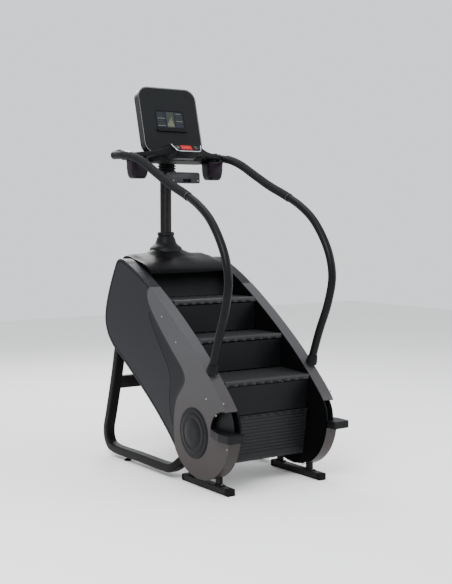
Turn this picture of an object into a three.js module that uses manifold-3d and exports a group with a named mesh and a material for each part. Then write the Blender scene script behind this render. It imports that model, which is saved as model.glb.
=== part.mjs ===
// Stair climber: a revolving staircase of eight hinged steps between two side housings,
// with handrails, a console on a mast, a rear stand and two front feet.
// Millimetres. X runs across the machine, Y forward to the console, Z up.
// The working origin is the middle of the round hub cover, at floor level. The group at the end
// moves it to the middle of the footprint.

import * as THREE from 'three';
import { mergeVertices } from 'three/addons/utils/BufferGeometryUtils.js';
import Module from 'manifold-3d';

const wasm = await Module();
wasm.setup();

// ---------------------------------------------------------------- driving dimensions

const FOOTPRINT_MIDDLE_Y = 308;

const STEP_COUNT = 8;
const STEP_RISE = 194.8;
const STEP_RUN = 255.1;
const STEP_HALF_WIDTH = 281;
const STEP_PITCH = Math.hypot(STEP_RISE, STEP_RUN);
const SLOPE = Math.atan2(STEP_RISE, STEP_RUN);

// Step axles run round three wheels, placed along the slope (u) and square to it (n).
const TOP_WHEEL = { u: 1123.1, n: 355, r: 80 };
const FRONT_WHEEL = { u: 143, n: 365, r: 70 };
const LOWER_WHEEL = { u: 143, n: 220, r: 60 };
const WHEELS = [TOP_WHEEL, FRONT_WHEEL, LOWER_WHEEL];
const FRONT_AXLE_TURN = THREE.MathUtils.degToRad(42);

const DECK_TOP = 5;
const DECK_BOTTOM = -7;
const LIP_DROP = 22;
const LIP_OVERHANG = 4;
const RISER_FRONT = 2;
const RISER_BACK = 8;
const RISER_END_GAP = 10;
const RISER_TOP_GAP = 26;
const AXLE_RADIUS = 5;
const ROLLER_RADIUS = 12;

const SKIRT_X = [285, 288];
const ROLLER_X = [295, 306];
const CHAIN_X = [308, 318];
const FRAME_X = [322, 328];
const BELT_X = [334, 346];
const HOUSING_X = [290, 358];
const SHROUD_OUTER_X = 361;
const COVER_HALF_WIDTH = 284.4;
const CHAIN_HALF_HEIGHT = 6;
const WALL = 3;
const GAP = 0.5;

const HUB = { y: 0, z: 296.7, r: 140 };
const PAD = { inner: 300, outer: 405, front: -400, bottom: 306, top: 346 };
// The toe recess is deeper outside the frame plates than it is beside the step chain.
const RECESS_LAYERS = [{ x: [293, 332], back: -208 }, { x: [331.5, SHROUD_OUTER_X], back: -168 }];
const FOOT = { x: [285, 335], y: [-288, 166], height: 38 };
const FOOT_POSTS_Y = [-170, 100];

const LEG_SECTION = { width: 60, depth: 50, corner: 12 };
const LEVELLER = { y: 755, pad: 22 };
const CROSS_BAR = { y: 928, z: 454, depth: 40, height: 74 };

const MAST = { y: 875, r: 35, bottom: 766, top: 1738 };
const MAST_BASE = { y: [838, 888], z: [714, 764] };

const RAIL_RADIUS = 22.5;
const GRIP_RADIUS = 26;

const CONSOLE = { y: 780, z: 1925, tilt: THREE.MathUtils.degToRad(-15), half: 207, low: -80, high: 345 };
const CONSOLE_CORNER = 72;
const CUP = { x: 268, y: 757, half: 57, bottom: 1694, top: 1806 };

const ALTERNATOR = { u: 820, n: 336, r: 62 };
const DRIVE_PULLEY_RADIUS = 62;
const ALTERNATOR_PULLEY_RADIUS = 18;

// ---------------------------------------------------------------- geometry helpers

const SIDE_VIEW_AXES = new THREE.Matrix4().makeBasis(
  new THREE.Vector3(0, 1, 0),
  new THREE.Vector3(0, 0, 1),
  new THREE.Vector3(1, 0, 0),
);

// Keeps only positions and joins shared corners, so that the shape is one closed surface.
function welded(geometry) {
  const copy = geometry.clone();
  copy.deleteAttribute('normal');
  copy.deleteAttribute('uv');
  return mergeVertices(copy, 1e-3);
}

function solid(geometry) {
  const mesh = welded(geometry);
  return new wasm.Manifold(new wasm.Mesh({
    numProp: 3,
    vertProperties: new Float32Array(mesh.attributes.position.array),
    triVerts: new Uint32Array(mesh.index.array),
  }));
}

function geometryOf(manifold) {
  const mesh = manifold.getMesh();
  const geometry = new THREE.BufferGeometry();
  geometry.setAttribute('position', new THREE.BufferAttribute(new Float32Array(mesh.vertProperties), 3));
  geometry.setIndex(new THREE.BufferAttribute(new Uint32Array(mesh.triVerts), 1));
  geometry.computeVertexNormals();
  return geometry;
}

const joined = (...geometries) => geometryOf(geometries.map(solid).reduce((sum, next) => sum.add(next)));

function cut(base, ...tools) {
  return geometryOf(tools.map(solid).reduce((left, tool) => left.subtract(tool), solid(base)));
}

const common = (a, b) => geometryOf(solid(a).intersect(solid(b)));

// Mirrors a shape from the right side of the machine to the left.
function mirrored(geometry) {
  const copy = welded(geometry);
  copy.scale(-1, 1, 1);
  const index = copy.index.array;
  for (let i = 0; i < index.length; i += 3) {
    const second = index[i + 1];
    index[i + 1] = index[i + 2];
    index[i + 2] = second;
  }
  copy.computeVertexNormals();
  return copy;
}

// Extrudes a side-view outline, drawn with Y to the right and Z up, across the machine.
function acrossX(shape, [x0, x1], curveSegments = 8) {
  const geometry = new THREE.ExtrudeGeometry(shape, { depth: x1 - x0, bevelEnabled: false, curveSegments });
  geometry.applyMatrix4(SIDE_VIEW_AXES);
  geometry.translate(x0, 0, 0);
  return geometry;
}

function block([x0, x1], [y0, y1], [z0, z1]) {
  const geometry = new THREE.BoxGeometry(x1 - x0, y1 - y0, z1 - z0);
  geometry.translate((x0 + x1) / 2, (y0 + y1) / 2, (z0 + z1) / 2);
  return geometry;
}

// A round bar along X.
function barX([x0, x1], y, z, radius, sides = 16) {
  const geometry = new THREE.CylinderGeometry(radius, radius, x1 - x0, sides);
  geometry.rotateZ(-Math.PI / 2);
  geometry.translate((x0 + x1) / 2, y, z);
  return geometry;
}

// A round bar along Z.
function barZ(x, y, [z0, z1], radius, sides = 16) {
  const geometry = new THREE.CylinderGeometry(radius, radius, z1 - z0, sides);
  geometry.rotateX(Math.PI / 2);
  geometry.translate(x, y, (z0 + z1) / 2);
  return geometry;
}

const polygon = (points) => new THREE.Shape(points.map(([a, b]) => new THREE.Vector2(a, b)));

// Moves every point of a counter-clockwise closed outline outwards, or inwards when negative.
function offsetOutline(points, distance) {
  return points.map((point, i) => {
    const before = points[(i + points.length - 1) % points.length];
    const after = points[(i + 1) % points.length];
    const into = point.clone().sub(before).normalize();
    const out = after.clone().sub(point).normalize();
    const normal = new THREE.Vector2(into.y + out.y, -into.x - out.x).normalize();
    return point.clone().addScaledVector(normal, distance);
  });
}

function roundedRectangle(halfWidth, low, high, radius) {
  const shape = new THREE.Shape();
  shape.absarc(halfWidth - radius, low + radius, radius, -Math.PI / 2, 0);
  shape.absarc(halfWidth - radius, high - radius, radius, 0, Math.PI / 2);
  shape.absarc(radius - halfWidth, high - radius, radius, Math.PI / 2, Math.PI);
  shape.absarc(radius - halfWidth, low + radius, radius, Math.PI, Math.PI * 1.5);
  return shape;
}

function ovalSection(width, depth, sides) {
  const points = Array.from({ length: sides }, (_, i) => {
    const angle = (i / sides) * Math.PI * 2 + Math.PI / sides;
    return new THREE.Vector2(Math.cos(angle) * width / 2, Math.sin(angle) * depth / 2);
  });
  return new THREE.Shape(points);
}

function tube(points, section, steps) {
  const path = new THREE.CatmullRomCurve3(points.map((p) => new THREE.Vector3(...p)), false, 'centripetal');
  return new THREE.ExtrudeGeometry(section, { steps, extrudePath: path, bevelEnabled: false });
}

// Sweeps a rounded rectangle along a path close to a side view; its width stays along X.
function sweptInSideView(points, { width, depth, corner }, steps) {
  const section = roundedRectangle(width / 2, -depth / 2, depth / 2, corner).getPoints(1);
  const path = new THREE.CatmullRomCurve3(points.map((p) => new THREE.Vector3(...p)), false, 'centripetal');
  const rings = path.getSpacedPoints(steps).map((point, i) => {
    const along = path.getTangentAt(i / steps);
    const wide = new THREE.Vector3(1, 0, 0).addScaledVector(along, -along.x).normalize();
    const deep = new THREE.Vector3().crossVectors(along, wide);
    return section.map(({ x, y }) => point.clone().addScaledVector(wide, x).addScaledVector(deep, y));
  });
  return lofted(rings);
}

// Joins rings of points, all with the same count, into a closed body with flat ends.
function lofted(rings) {
  const count = rings[0].length;
  const index = [];
  for (let ring = 0; ring + 1 < rings.length; ring += 1) {
    for (let k = 0; k < count; k += 1) {
      const a = ring * count + k;
      const b = ring * count + ((k + 1) % count);
      index.push(a, b, b + count, a, b + count, a + count);
    }
  }
  const last = (rings.length - 1) * count;
  for (let k = 1; k + 1 < count; k += 1) {
    index.push(0, k + 1, k);
    index.push(last, last + k, last + k + 1);
  }
  const geometry = new THREE.BufferGeometry();
  const places = rings.flat().flatMap((point) => point.toArray());
  geometry.setAttribute('position', new THREE.Float32BufferAttribute(places, 3));
  geometry.setIndex(index);
  return geometry;
}

// Every piece has a material of its own.
function piece(name, geometry, [color, roughness, metalness]) {
  const clean = welded(geometry);
  clean.computeVertexNormals();
  const mesh = new THREE.Mesh(clean, new THREE.MeshStandardMaterial({ color, roughness, metalness }));
  mesh.name = name;
  return mesh;
}

function pair(name, rightGeometry, finish) {
  return [piece(`${name}_left`, mirrored(rightGeometry), finish), piece(`${name}_right`, rightGeometry, finish)];
}

const CHARCOAL = [0x34353a, 0.55, 0.1];
const SILVER_GREY = [0x77787a, 0.5, 0.3];
const BLACK_PLASTIC = [0x121314, 0.6, 0];
const GLOSS_BLACK = [0x0a0a0b, 0.15, 0];
const FRAME_PAINT = [0x26272a, 0.5, 0.4];
const STEP_GREY = [0x2e2f31, 0.6, 0.3];
const STEEL = [0x9a9c9f, 0.35, 0.9];
const RUBBER = [0x101010, 0.9, 0];
const STOP_RED = [0xc81e1e, 0.4, 0];

// ---------------------------------------------------------------- the route of the step axles

// Turns a place along and square to the slope into a side-view point (Y, Z).
function fromSlope(u, n) {
  return new THREE.Vector2(u, n).rotateAround(new THREE.Vector2(0, 0), SLOPE);
}

// Direction, from the wheel's middle, of the point where the straight run to the next wheel leaves it.
function leavingAngle(wheel, next) {
  const du = next.u - wheel.u;
  const dn = next.n - wheel.n;
  const lean = Math.asin((wheel.r - next.r) / Math.hypot(du, dn));
  const angle = Math.atan2(dn, du) - Math.PI / 2 + lean;
  return (angle + Math.PI * 2) % (Math.PI * 2);
}

// For each wheel: where the run arrives and where it leaves, as rising angles.
const WRAPS = WHEELS.map((wheel, i) => {
  const before = WHEELS[(i + WHEELS.length - 1) % WHEELS.length];
  const after = WHEELS[(i + 1) % WHEELS.length];
  const arrives = leavingAngle(before, wheel);
  let leaves = leavingAngle(wheel, after);
  if (leaves < arrives) leaves += Math.PI * 2;
  return { wheel, arrives, leaves };
});

function onWheel(wheel, angle, radius = wheel.r) {
  return new THREE.Vector2(wheel.u + radius * Math.cos(angle), wheel.n + radius * Math.sin(angle));
}

// The route as a list of runs and turns, in the order that the steps come down and go back up.
const ROUTE = WRAPS.flatMap((wrap, i) => {
  const next = WRAPS[(i + 1) % WRAPS.length];
  const start = onWheel(wrap.wheel, wrap.leaves);
  const end = onWheel(next.wheel, next.arrives);
  const run = { length: start.distanceTo(end), at: (s) => start.clone().lerp(end, s / start.distanceTo(end)) };
  const turn = {
    length: (next.leaves - next.arrives) * next.wheel.r,
    at: (s) => onWheel(next.wheel, next.arrives + s / next.wheel.r),
  };
  return [run, turn];
});
const ROUTE_LENGTH = ROUTE.reduce((sum, stretch) => sum + stretch.length, 0);

function routePoint(distance) {
  let left = ((distance % ROUTE_LENGTH) + ROUTE_LENGTH) % ROUTE_LENGTH;
  for (const stretch of ROUTE) {
    if (left <= stretch.length) return stretch.at(left);
    left -= stretch.length;
  }
  return ROUTE[0].at(0);
}

// Axle 3 is the one that has just turned over the front wheel; the others follow at one pitch.
const AXLE_3_DISTANCE = ROUTE[0].length + FRONT_AXLE_TURN * FRONT_WHEEL.r;
const AXLES = Array.from({ length: STEP_COUNT }, (_, i) => {
  const place = routePoint(AXLE_3_DISTANCE + (i - 3) * STEP_PITCH);
  return fromSlope(place.x, place.y);
});

// The nose stands off the line between a tread's rear axle and its riser's lower axle.
function noseBetween(rear, lower) {
  const line = lower.clone().sub(rear);
  const span = line.length();
  const along = (STEP_RUN ** 2 - STEP_RISE ** 2 + span ** 2) / (2 * span);
  const outwards = new THREE.Vector2(line.y, -line.x).normalize();
  const height = Math.sqrt(STEP_RUN ** 2 - along ** 2);
  return rear.clone().addScaledVector(line.normalize(), along).addScaledVector(outwards, height);
}

// A closed outline round the three wheels, standing off the axle route by a distance.
function routeOutline(standOff, path) {
  for (const { wheel, arrives, leaves } of WRAPS) {
    path.absarc(wheel.u, wheel.n, wheel.r + standOff, arrives, leaves);
  }
  return path;
}

// ---------------------------------------------------------------- steps

// Local frame: the axle is the origin, the deck runs along -Y and its top faces +Z.
function treadGeometry() {
  const profile = new THREE.Shape();
  const nose = -STEP_RUN;
  profile.moveTo(0, DECK_BOTTOM);
  profile.absarc(0, -1, 6, -Math.PI / 2, Math.PI / 2);
  profile.lineTo(nose, DECK_TOP);
  profile.quadraticCurveTo(nose - LIP_OVERHANG, DECK_TOP, nose - LIP_OVERHANG, DECK_TOP - 5);
  profile.lineTo(nose - LIP_OVERHANG, -LIP_DROP);
  profile.lineTo(nose + 3, -LIP_DROP);
  profile.lineTo(nose + 3, DECK_BOTTOM);
  const deck = acrossX(profile, [-STEP_HALF_WIDTH, STEP_HALF_WIDTH], 3);
  const axle = barX([-ROLLER_X[1], ROLLER_X[1]], 0, 0, AXLE_RADIUS, 8);
  const rollers = [-1, 1].map((side) => {
    const span = ROLLER_X.map((x) => x * side).sort((a, b) => a - b);
    return barX(span, 0, 0, ROLLER_RADIUS, 10);
  });
  return joined(deck, axle, ...rollers);
}

// Local frame: the lower axle is the origin, the panel rises along +Z and its front faces -Y.
function riserGeometry() {
  const top = STEP_RISE - RISER_TOP_GAP;
  const middle = (RISER_END_GAP + top) / 2;
  const hollow = 5;
  const profile = new THREE.Shape();
  profile.moveTo(RISER_FRONT, RISER_END_GAP);
  profile.lineTo(RISER_BACK, RISER_END_GAP);
  profile.quadraticCurveTo(RISER_BACK + hollow, middle, RISER_BACK, top);
  profile.lineTo(RISER_FRONT, top);
  profile.quadraticCurveTo(RISER_FRONT + hollow, middle, RISER_FRONT, RISER_END_GAP);
  return acrossX(profile, [-STEP_HALF_WIDTH, STEP_HALF_WIDTH], 4);
}

function steps() {
  const tread = treadGeometry();
  const riser = riserGeometry();
  return Array.from({ length: STEP_COUNT }, (_, i) => {
    const rear = AXLES[i];
    const lower = AXLES[(i + 1) % STEP_COUNT];
    const nose = noseBetween(rear, lower);
    const treadMesh = piece(`tread_${i + 1}`, tread, STEP_GREY);
    treadMesh.position.set(0, rear.x, rear.y);
    treadMesh.rotation.x = Math.atan2(rear.y - nose.y, rear.x - nose.x);
    const riserMesh = piece(`riser_${i + 1}`, riser, BLACK_PLASTIC);
    riserMesh.position.set(0, lower.x, lower.y);
    riserMesh.rotation.x = Math.atan2(lower.x - nose.x, nose.y - lower.y);
    return [treadMesh, riserMesh];
  }).flat();
}

// ---------------------------------------------------------------- chains, shafts and brake

function stepChain() {
  const outline = routeOutline(CHAIN_HALF_HEIGHT, new THREE.Shape());
  outline.holes.push(routeOutline(-CHAIN_HALF_HEIGHT, new THREE.Path()));
  return acrossX(outline, CHAIN_X, 5);
}

// A shaft with a sprocket inside each chain; half is the shaft's half length.
function sprocketShaft({ u, n, r }, shaftRadius, half) {
  const disc = CHAIN_X.map((x, i) => x + (i ? -1 : 1));
  const radius = r - CHAIN_HALF_HEIGHT - 3 * GAP;
  return joined(
    barX([-half, half], u, n, shaftRadius),
    barX(disc, u, n, radius, 16),
    barX(disc.map((x) => -x).reverse(), u, n, radius, 16),
  );
}

const BELT_X_LEFT = [-BELT_X[1], -BELT_X[0]];

function upperShaft() {
  const pulley = barX(BELT_X_LEFT, TOP_WHEEL.u, TOP_WHEEL.n, DRIVE_PULLEY_RADIUS, 24);
  return joined(sprocketShaft(TOP_WHEEL, 15, BELT_X[1] + 3), pulley);
}

// A flat belt round the drive pulley and the brake's small pulley.
function driveBelt() {
  const wheels = [
    { ...TOP_WHEEL, r: DRIVE_PULLEY_RADIUS + 2 * GAP },
    { ...ALTERNATOR, r: ALTERNATOR_PULLEY_RADIUS + 2 * GAP },
  ];
  const round = (path, thickness) => {
    wheels.forEach((wheel, i) => {
      const other = wheels[1 - i];
      const arrives = leavingAngle(other, wheel);
      let leaves = leavingAngle(wheel, other);
      if (leaves < arrives) leaves += Math.PI * 2;
      path.absarc(wheel.u, wheel.n, wheel.r + thickness, arrives, leaves);
    });
    return path;
  };
  const outline = round(new THREE.Shape(), 4);
  outline.holes.push(round(new THREE.Path(), 0));
  return acrossX(outline, BELT_X_LEFT, 6);
}

function alternator() {
  const shell = barX([-316, -200], ALTERNATOR.u, ALTERNATOR.n, ALTERNATOR.r, 20);
  const bore = barX([-320, -280], ALTERNATOR.u, ALTERNATOR.n, 9, 12);
  return cut(shell, bore);
}

function alternatorPulley() {
  const pulley = barX(BELT_X_LEFT, ALTERNATOR.u, ALTERNATOR.n, ALTERNATOR_PULLEY_RADIUS, 16);
  const shaft = barX([-BELT_X[1], -282], ALTERNATOR.u, ALTERNATOR.n, 8, 12);
  return joined(pulley, shaft);
}

function driveTrain() {
  const group = new THREE.Group();
  group.rotation.x = SLOPE;
  group.add(
    ...pair('step_chain', stepChain(), STEEL),
    piece('upper_shaft', upperShaft(), STEEL),
    piece('front_idler_shaft', sprocketShaft(FRONT_WHEEL, 12, FRAME_X[1] + 2), STEEL),
    piece('lower_idler_shaft', sprocketShaft(LOWER_WHEEL, 12, FRAME_X[1] + 2), STEEL),
    piece('drive_belt', driveBelt(), RUBBER),
    piece('alternator', alternator(), FRAME_PAINT),
    piece('alternator_pulley', alternatorPulley(), STEEL),
  );
  return group;
}

// ---------------------------------------------------------------- side housings

// Side view of a whole housing, counter-clockwise from the bottom of the front nose.
function housingOutline() {
  const shape = new THREE.Shape();
  shape.moveTo(-60, 54);
  shape.bezierCurveTo(60, 54, 140, 110, 190, 178);
  shape.quadraticCurveTo(330, 318, 581, 481);
  shape.lineTo(800, 618);
  shape.bezierCurveTo(900, 668, 1010, 740, 1009, 850);
  shape.bezierCurveTo(1008, 950, 925, 1090, 872, 1180);
  shape.bezierCurveTo(845, 1224, 800, 1228, 716, 1188);
  shape.quadraticCurveTo(590, 1140, 466, 1067);
  shape.quadraticCurveTo(210, 918, -36, 722);
  shape.quadraticCurveTo(-160, 618, -245, 533);
  shape.bezierCurveTo(-322, 456, -347, 420, -347, 350);
  shape.bezierCurveTo(-347, 180, -220, 54, -60, 54);
  return shape.getPoints(6).slice(0, -1);
}

// The lighter shroud's side of the seam that divides each housing.
function shroudRegion() {
  const shape = new THREE.Shape();
  shape.moveTo(-500, -60);
  shape.lineTo(215, -60);
  shape.lineTo(192, 178);
  shape.bezierCurveTo(212, 290, 208, 400, 168, 468);
  shape.bezierCurveTo(130, 522, 86, 540, 88, 585);
  shape.bezierCurveTo(92, 622, 125, 645, 160, 675);
  shape.bezierCurveTo(280, 772, 400, 880, 455, 945);
  shape.bezierCurveTo(505, 1000, 500, 1045, 459, 1068);
  shape.lineTo(440, 1110);
  shape.lineTo(-500, 1110);
  return shape.getPoints(5);
}

// A deep tray open to the inside and, along the underside, open to the floor.
function housingTray(outerX) {
  const outline = housingOutline();
  const body = acrossX(new THREE.Shape(outline), [HOUSING_X[0], outerX]);
  const hollow = acrossX(new THREE.Shape(offsetOutline(outline, -WALL)), [HOUSING_X[0] - 5, outerX - WALL]);
  const underside = polygon([[-120, 115], [-120, -50], [400, -50], [1000, 560], [905, 735], [560, 500], [183, 215]]);
  return cut(body, hollow, acrossX(underside, [HOUSING_X[0] - 5, outerX - WALL]));
}

// Toe recess over the foot pad, grown by a margin; the wall opposite the toes is left standing.
function toeRecess(margin, wallThickness, outerX) {
  const layers = RECESS_LAYERS.map(({ x, back }, i) => {
    const shape = new THREE.Shape();
    const end = back + margin;
    const top = 452 + margin;
    shape.moveTo(-370, PAD.top - 1);
    shape.lineTo(end, PAD.top - 1);
    shape.bezierCurveTo(end - 4, PAD.top + 60, (end - 300) / 2, top, -300, top);
    shape.lineTo(-370, top);
    return acrossX(shape, [x[0] + wallThickness, i ? outerX : x[1] + (wallThickness ? 0 : margin)], 6);
  });
  return joined(...layers);
}

function sidePanel() {
  const region = acrossX(new THREE.Shape(shroudRegion()), [200, 400]);
  return cut(housingTray(HOUSING_X[1]), region);
}

function sideShroud() {
  const region = acrossX(new THREE.Shape(offsetOutline(shroudRegion(), -0.8)), [200, 400]);
  const tray = common(housingTray(SHROUD_OUTER_X), region);
  const recess = toeRecess(WALL + GAP, -10, 400);
  const padSlot = footPlan(GAP, [PAD.bottom - GAP, PAD.top + GAP]);
  const postSlots = FOOT_POSTS_Y.map((y) => block([280, 323], [y - 23, y + 23], [0, 131]));
  return cut(tray, recess, padSlot, ...postSlots);
}

// The foot pad seen from above, grown by a margin.
function footPlan(margin, [z0, z1]) {
  const [inner, outer] = [PAD.inner - margin, PAD.outer + margin];
  const [side, step] = RECESS_LAYERS.map(({ back }) => back + margin);
  const front = PAD.front - margin;
  const plan = new THREE.Shape();
  plan.moveTo(inner, side);
  plan.lineTo(inner, front + 8);
  plan.quadraticCurveTo(inner, front, inner + 8, front);
  plan.lineTo(outer - 14, front);
  plan.quadraticCurveTo(outer, front, outer, front + 14);
  plan.lineTo(outer, -300);
  plan.lineTo(SHROUD_OUTER_X + 2, step);
  plan.lineTo(RECESS_LAYERS[1].x[0] - margin, step);
  plan.lineTo(RECESS_LAYERS[1].x[0] - margin, side);
  const geometry = new THREE.ExtrudeGeometry(plan, { depth: z1 - z0, bevelEnabled: false, curveSegments: 4 });
  geometry.translate(0, 0, z0);
  return geometry;
}

// The mounting pad at the foot of each housing, with the lining of the toe recess above it.
function footPad() {
  const lining = cut(
    toeRecess(WALL, 0, SHROUD_OUTER_X),
    toeRecess(0, WALL, 400),
    block([280, 400], [-380, -346], [300, 500]),
  );
  const inside = acrossX(new THREE.Shape(offsetOutline(housingOutline(), -1)), [280, 400]);
  return joined(footPlan(0, [PAD.bottom, PAD.top]), common(lining, inside));
}

function hubCap() {
  const profile = [[0, 0], [HUB.r, 0], [HUB.r, 3], [HUB.r - 8, 7], [HUB.r * 0.6, 9], [0, 9]];
  const geometry = new THREE.LatheGeometry(profile.map(([r, h]) => new THREE.Vector2(r, h)), 32);
  geometry.rotateZ(-Math.PI / 2);
  geometry.translate(SHROUD_OUTER_X + GAP, HUB.y, HUB.z);
  return geometry;
}

// A flat inner wall beside the steps, open where the step axles pass.
function innerSkirt() {
  const wall = acrossX(new THREE.Shape(offsetOutline(housingOutline(), -6)), SKIRT_X);
  const slot = acrossX(routeOutline(ROLLER_RADIUS + 6, new THREE.Shape()), [280, 292], 6);
  slot.rotateX(SLOPE);
  const mastBase = block([280, 292], [MAST_BASE.y[0] - 3, MAST_BASE.y[1] + 3], [MAST_BASE.z[0] - 3, MAST_BASE.z[1] + 3]);
  return cut(wall, slot, mastBase);
}

function housings() {
  return [
    ...pair('side_panel', sidePanel(), CHARCOAL),
    ...pair('side_shroud', sideShroud(), SILVER_GREY),
    ...pair('hub_cap', hubCap(), CHARCOAL),
    ...pair('foot_pad', footPad(), BLACK_PLASTIC),
    ...pair('inner_skirt', innerSkirt(), BLACK_PLASTIC),
  ];
}

// ---------------------------------------------------------------- frame, stand and feet

// Two side plates joined by cross tubes inside the loop of steps, and the beam that holds the mast.
function mainFrame() {
  const plateOutline = new THREE.Shape(offsetOutline(housingOutline(), -26));
  const recess = block([300, 340], [-400, -146], [280, 640]);
  const windows = [[440, 330, 78], [640, 330, 78], [900, 250, 62]];
  const bearings = [[TOP_WHEEL, 16], [FRONT_WHEEL, 13], [LOWER_WHEEL, 13], [ALTERNATOR, 9]];
  const holes = [
    ...windows.map(([u, n, r]) => ({ at: fromSlope(u, n), r, sides: 12 })),
    ...bearings.map(([wheel, r]) => ({ at: fromSlope(wheel.u, wheel.n), r, sides: 12 })),
  ].map(({ at, r, sides }) => barX([300, 340], at.x, at.y, r, sides));
  const plate = cut(acrossX(plateOutline, FRAME_X), recess, ...holes);
  const tubes = [[330, 300], [545, 330], [1000, 355]].map(([u, n]) => {
    const at = fromSlope(u, n);
    return barX([-FRAME_X[0] - 1, FRAME_X[0] + 1], at.x, at.y, 22, 12);
  });
  const beam = block([-FRAME_X[0] - 1, FRAME_X[0] + 1], MAST_BASE.y, MAST_BASE.z);
  return joined(plate, mirrored(plate), beam, ...tubes);
}

// The bent tube that carries each side at the back.
function rearLeg() {
  const corner = 118;
  const low = 27 + LEG_SECTION.depth / 2;
  const points = [
    [322, 884, 676],
    [330, 925, 470],
    [343, 974, 240],
    [347, 991, low + corner],
    [347, 985, low + 55],
    [347, 952, low + 14],
    [347, 900, low],
    [347, 600, low],
    [347, 300, low],
    [345, 240, low + 5],
    [338, 192, low + 30],
    [324, 156, 116],
  ];
  return sweptInSideView(points, LEG_SECTION, 26);
}

function rearCrossBar() {
  const { y, z, depth, height } = CROSS_BAR;
  const bar = block([-306, 306], [y - depth / 2, y + depth / 2], [z - height / 2, z + height / 2]);
  const grown = sweptInSideView(
    [[322, 884, 676], [330, 925, 470], [343, 974, 240]],
    { width: LEG_SECTION.width + 3, depth: LEG_SECTION.depth + 3, corner: 12 },
    8,
  );
  return cut(bar, grown, mirrored(grown));
}

function leveller() {
  const profile = [[0, 0], [LEVELLER.pad, 0], [LEVELLER.pad, 9], [9, 13], [9, 23.6], [0, 23.6]];
  const geometry = new THREE.LatheGeometry(profile.map(([r, z]) => new THREE.Vector2(r, z)), 16);
  geometry.rotateX(Math.PI / 2);
  geometry.translate(347, LEVELLER.y, 0);
  return geometry;
}

function frontFoot() {
  const end = 9;
  const outline = new THREE.Shape();
  const [back, front] = [FOOT.y[1], FOOT.y[0]];
  outline.moveTo(front + end, 0);
  outline.lineTo(back - end, 0);
  outline.quadraticCurveTo(back, 0, back, end);
  outline.lineTo(back, FOOT.height - end);
  outline.quadraticCurveTo(back, FOOT.height, back - end, FOOT.height);
  outline.lineTo(front + end, FOOT.height);
  outline.quadraticCurveTo(front, FOOT.height, front, FOOT.height - end);
  outline.lineTo(front, end);
  outline.quadraticCurveTo(front, 0, front + end, 0);
  const posts = FOOT_POSTS_Y.map((y) => block([298, 320], [y - 20, y + 20], [FOOT.height - 2, 128]));
  return joined(acrossX(outline, FOOT.x, 4), ...posts);
}

function standAndFeet() {
  return [
    piece('main_frame', mainFrame(), FRAME_PAINT),
    ...pair('rear_leg', rearLeg(), FRAME_PAINT),
    piece('rear_cross_bar', rearCrossBar(), FRAME_PAINT),
    ...pair('leveller', leveller(), RUBBER),
    ...pair('front_foot', frontFoot(), FRAME_PAINT),
  ];
}

// ---------------------------------------------------------------- covers and mast

const COVER_X = [-COVER_HALF_WIDTH, COVER_HALF_WIDTH];

// Upper surface of the top cover, from its front lip over the crown to the back.
function coverCurve() {
  return new THREE.SplineCurve([
    [579, 1140], [583, 1148], [650, 1188], [760, 1222], [850, 1242], [900, 1236], [935, 1200], [958, 1132],
  ].map(([y, z]) => new THREE.Vector2(y, z))).getPoints(20);
}

// A sheet of even thickness that lies on the inner side of an open curve.
function sheetProfile(curve, thickness) {
  const inner = curve.map((point, i) => {
    const before = curve[Math.max(i - 1, 0)];
    const after = curve[Math.min(i + 1, curve.length - 1)];
    const along = after.clone().sub(before).normalize();
    return point.clone().add(new THREE.Vector2(along.y, -along.x).multiplyScalar(thickness));
  });
  return new THREE.Shape([...curve, ...inner.reverse()]);
}

function topCover() {
  const sheet = acrossX(sheetProfile(coverCurve(), WALL), COVER_X);
  return cut(sheet, barZ(0, MAST.y, [1200, 1300], MAST.r + 1, 20));
}

function rearCover() {
  const curve = new THREE.SplineCurve([
    [960, 1130], [985, 1010], [1000, 850], [960, 748], [880, 688], [760, 608], [640, 528],
  ].map(([y, z]) => new THREE.Vector2(y, z))).getPoints(16);
  return acrossX(sheetProfile(curve, WALL), COVER_X);
}

function mast() {
  return barZ(0, MAST.y, [MAST.bottom, MAST.top], MAST.r, 24);
}

// The moulded boot round the foot of the mast, trimmed to the cover below it.
function mastBoot() {
  const inner = MAST.r + GAP;
  const profile = [[inner, 1225], [118, 1225], [92, 1272], [66, 1292], [53, 1322], [48, 1372], [inner, 1374], [inner, 1225]];
  const ring = new THREE.LatheGeometry(profile.map(([r, z]) => new THREE.Vector2(r, z)), 20);
  ring.rotateX(Math.PI / 2);
  ring.translate(0, MAST.y, 0);
  const curve = coverCurve().map((point) => point.clone().add(new THREE.Vector2(0, GAP)));
  const below = acrossX(new THREE.Shape([...curve, new THREE.Vector2(900, 1000), new THREE.Vector2(600, 1000)]), COVER_X);
  return cut(ring, below);
}

function coversAndMast() {
  return [
    piece('top_cover', topCover(), BLACK_PLASTIC),
    piece('rear_cover', rearCover(), BLACK_PLASTIC),
    piece('mast', mast(), FRAME_PAINT),
    piece('mast_boot', mastBoot(), BLACK_PLASTIC),
  ];
}

// ---------------------------------------------------------------- handrails

const RAIL_POINTS = [
  [338, -150, 664],
  [340, -213, 830],
  [344, -279, 985],
  [347, -312, 1130],
  [348, -292, 1240],
  [348, -238, 1342],
  [347, -140, 1455],
  [346, -27, 1530],
  [345, 97, 1586],
  [345, 260, 1648],
  [345, 420, 1720],
  [345, 560, 1784],
  [345, 680, 1820],
  [345, 800, 1836],
  [345, 895, 1838],
];
const SWITCH = { y: [826, 866], halfWidth: 7, pocketFloor: 1856, top: 1868 };

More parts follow.
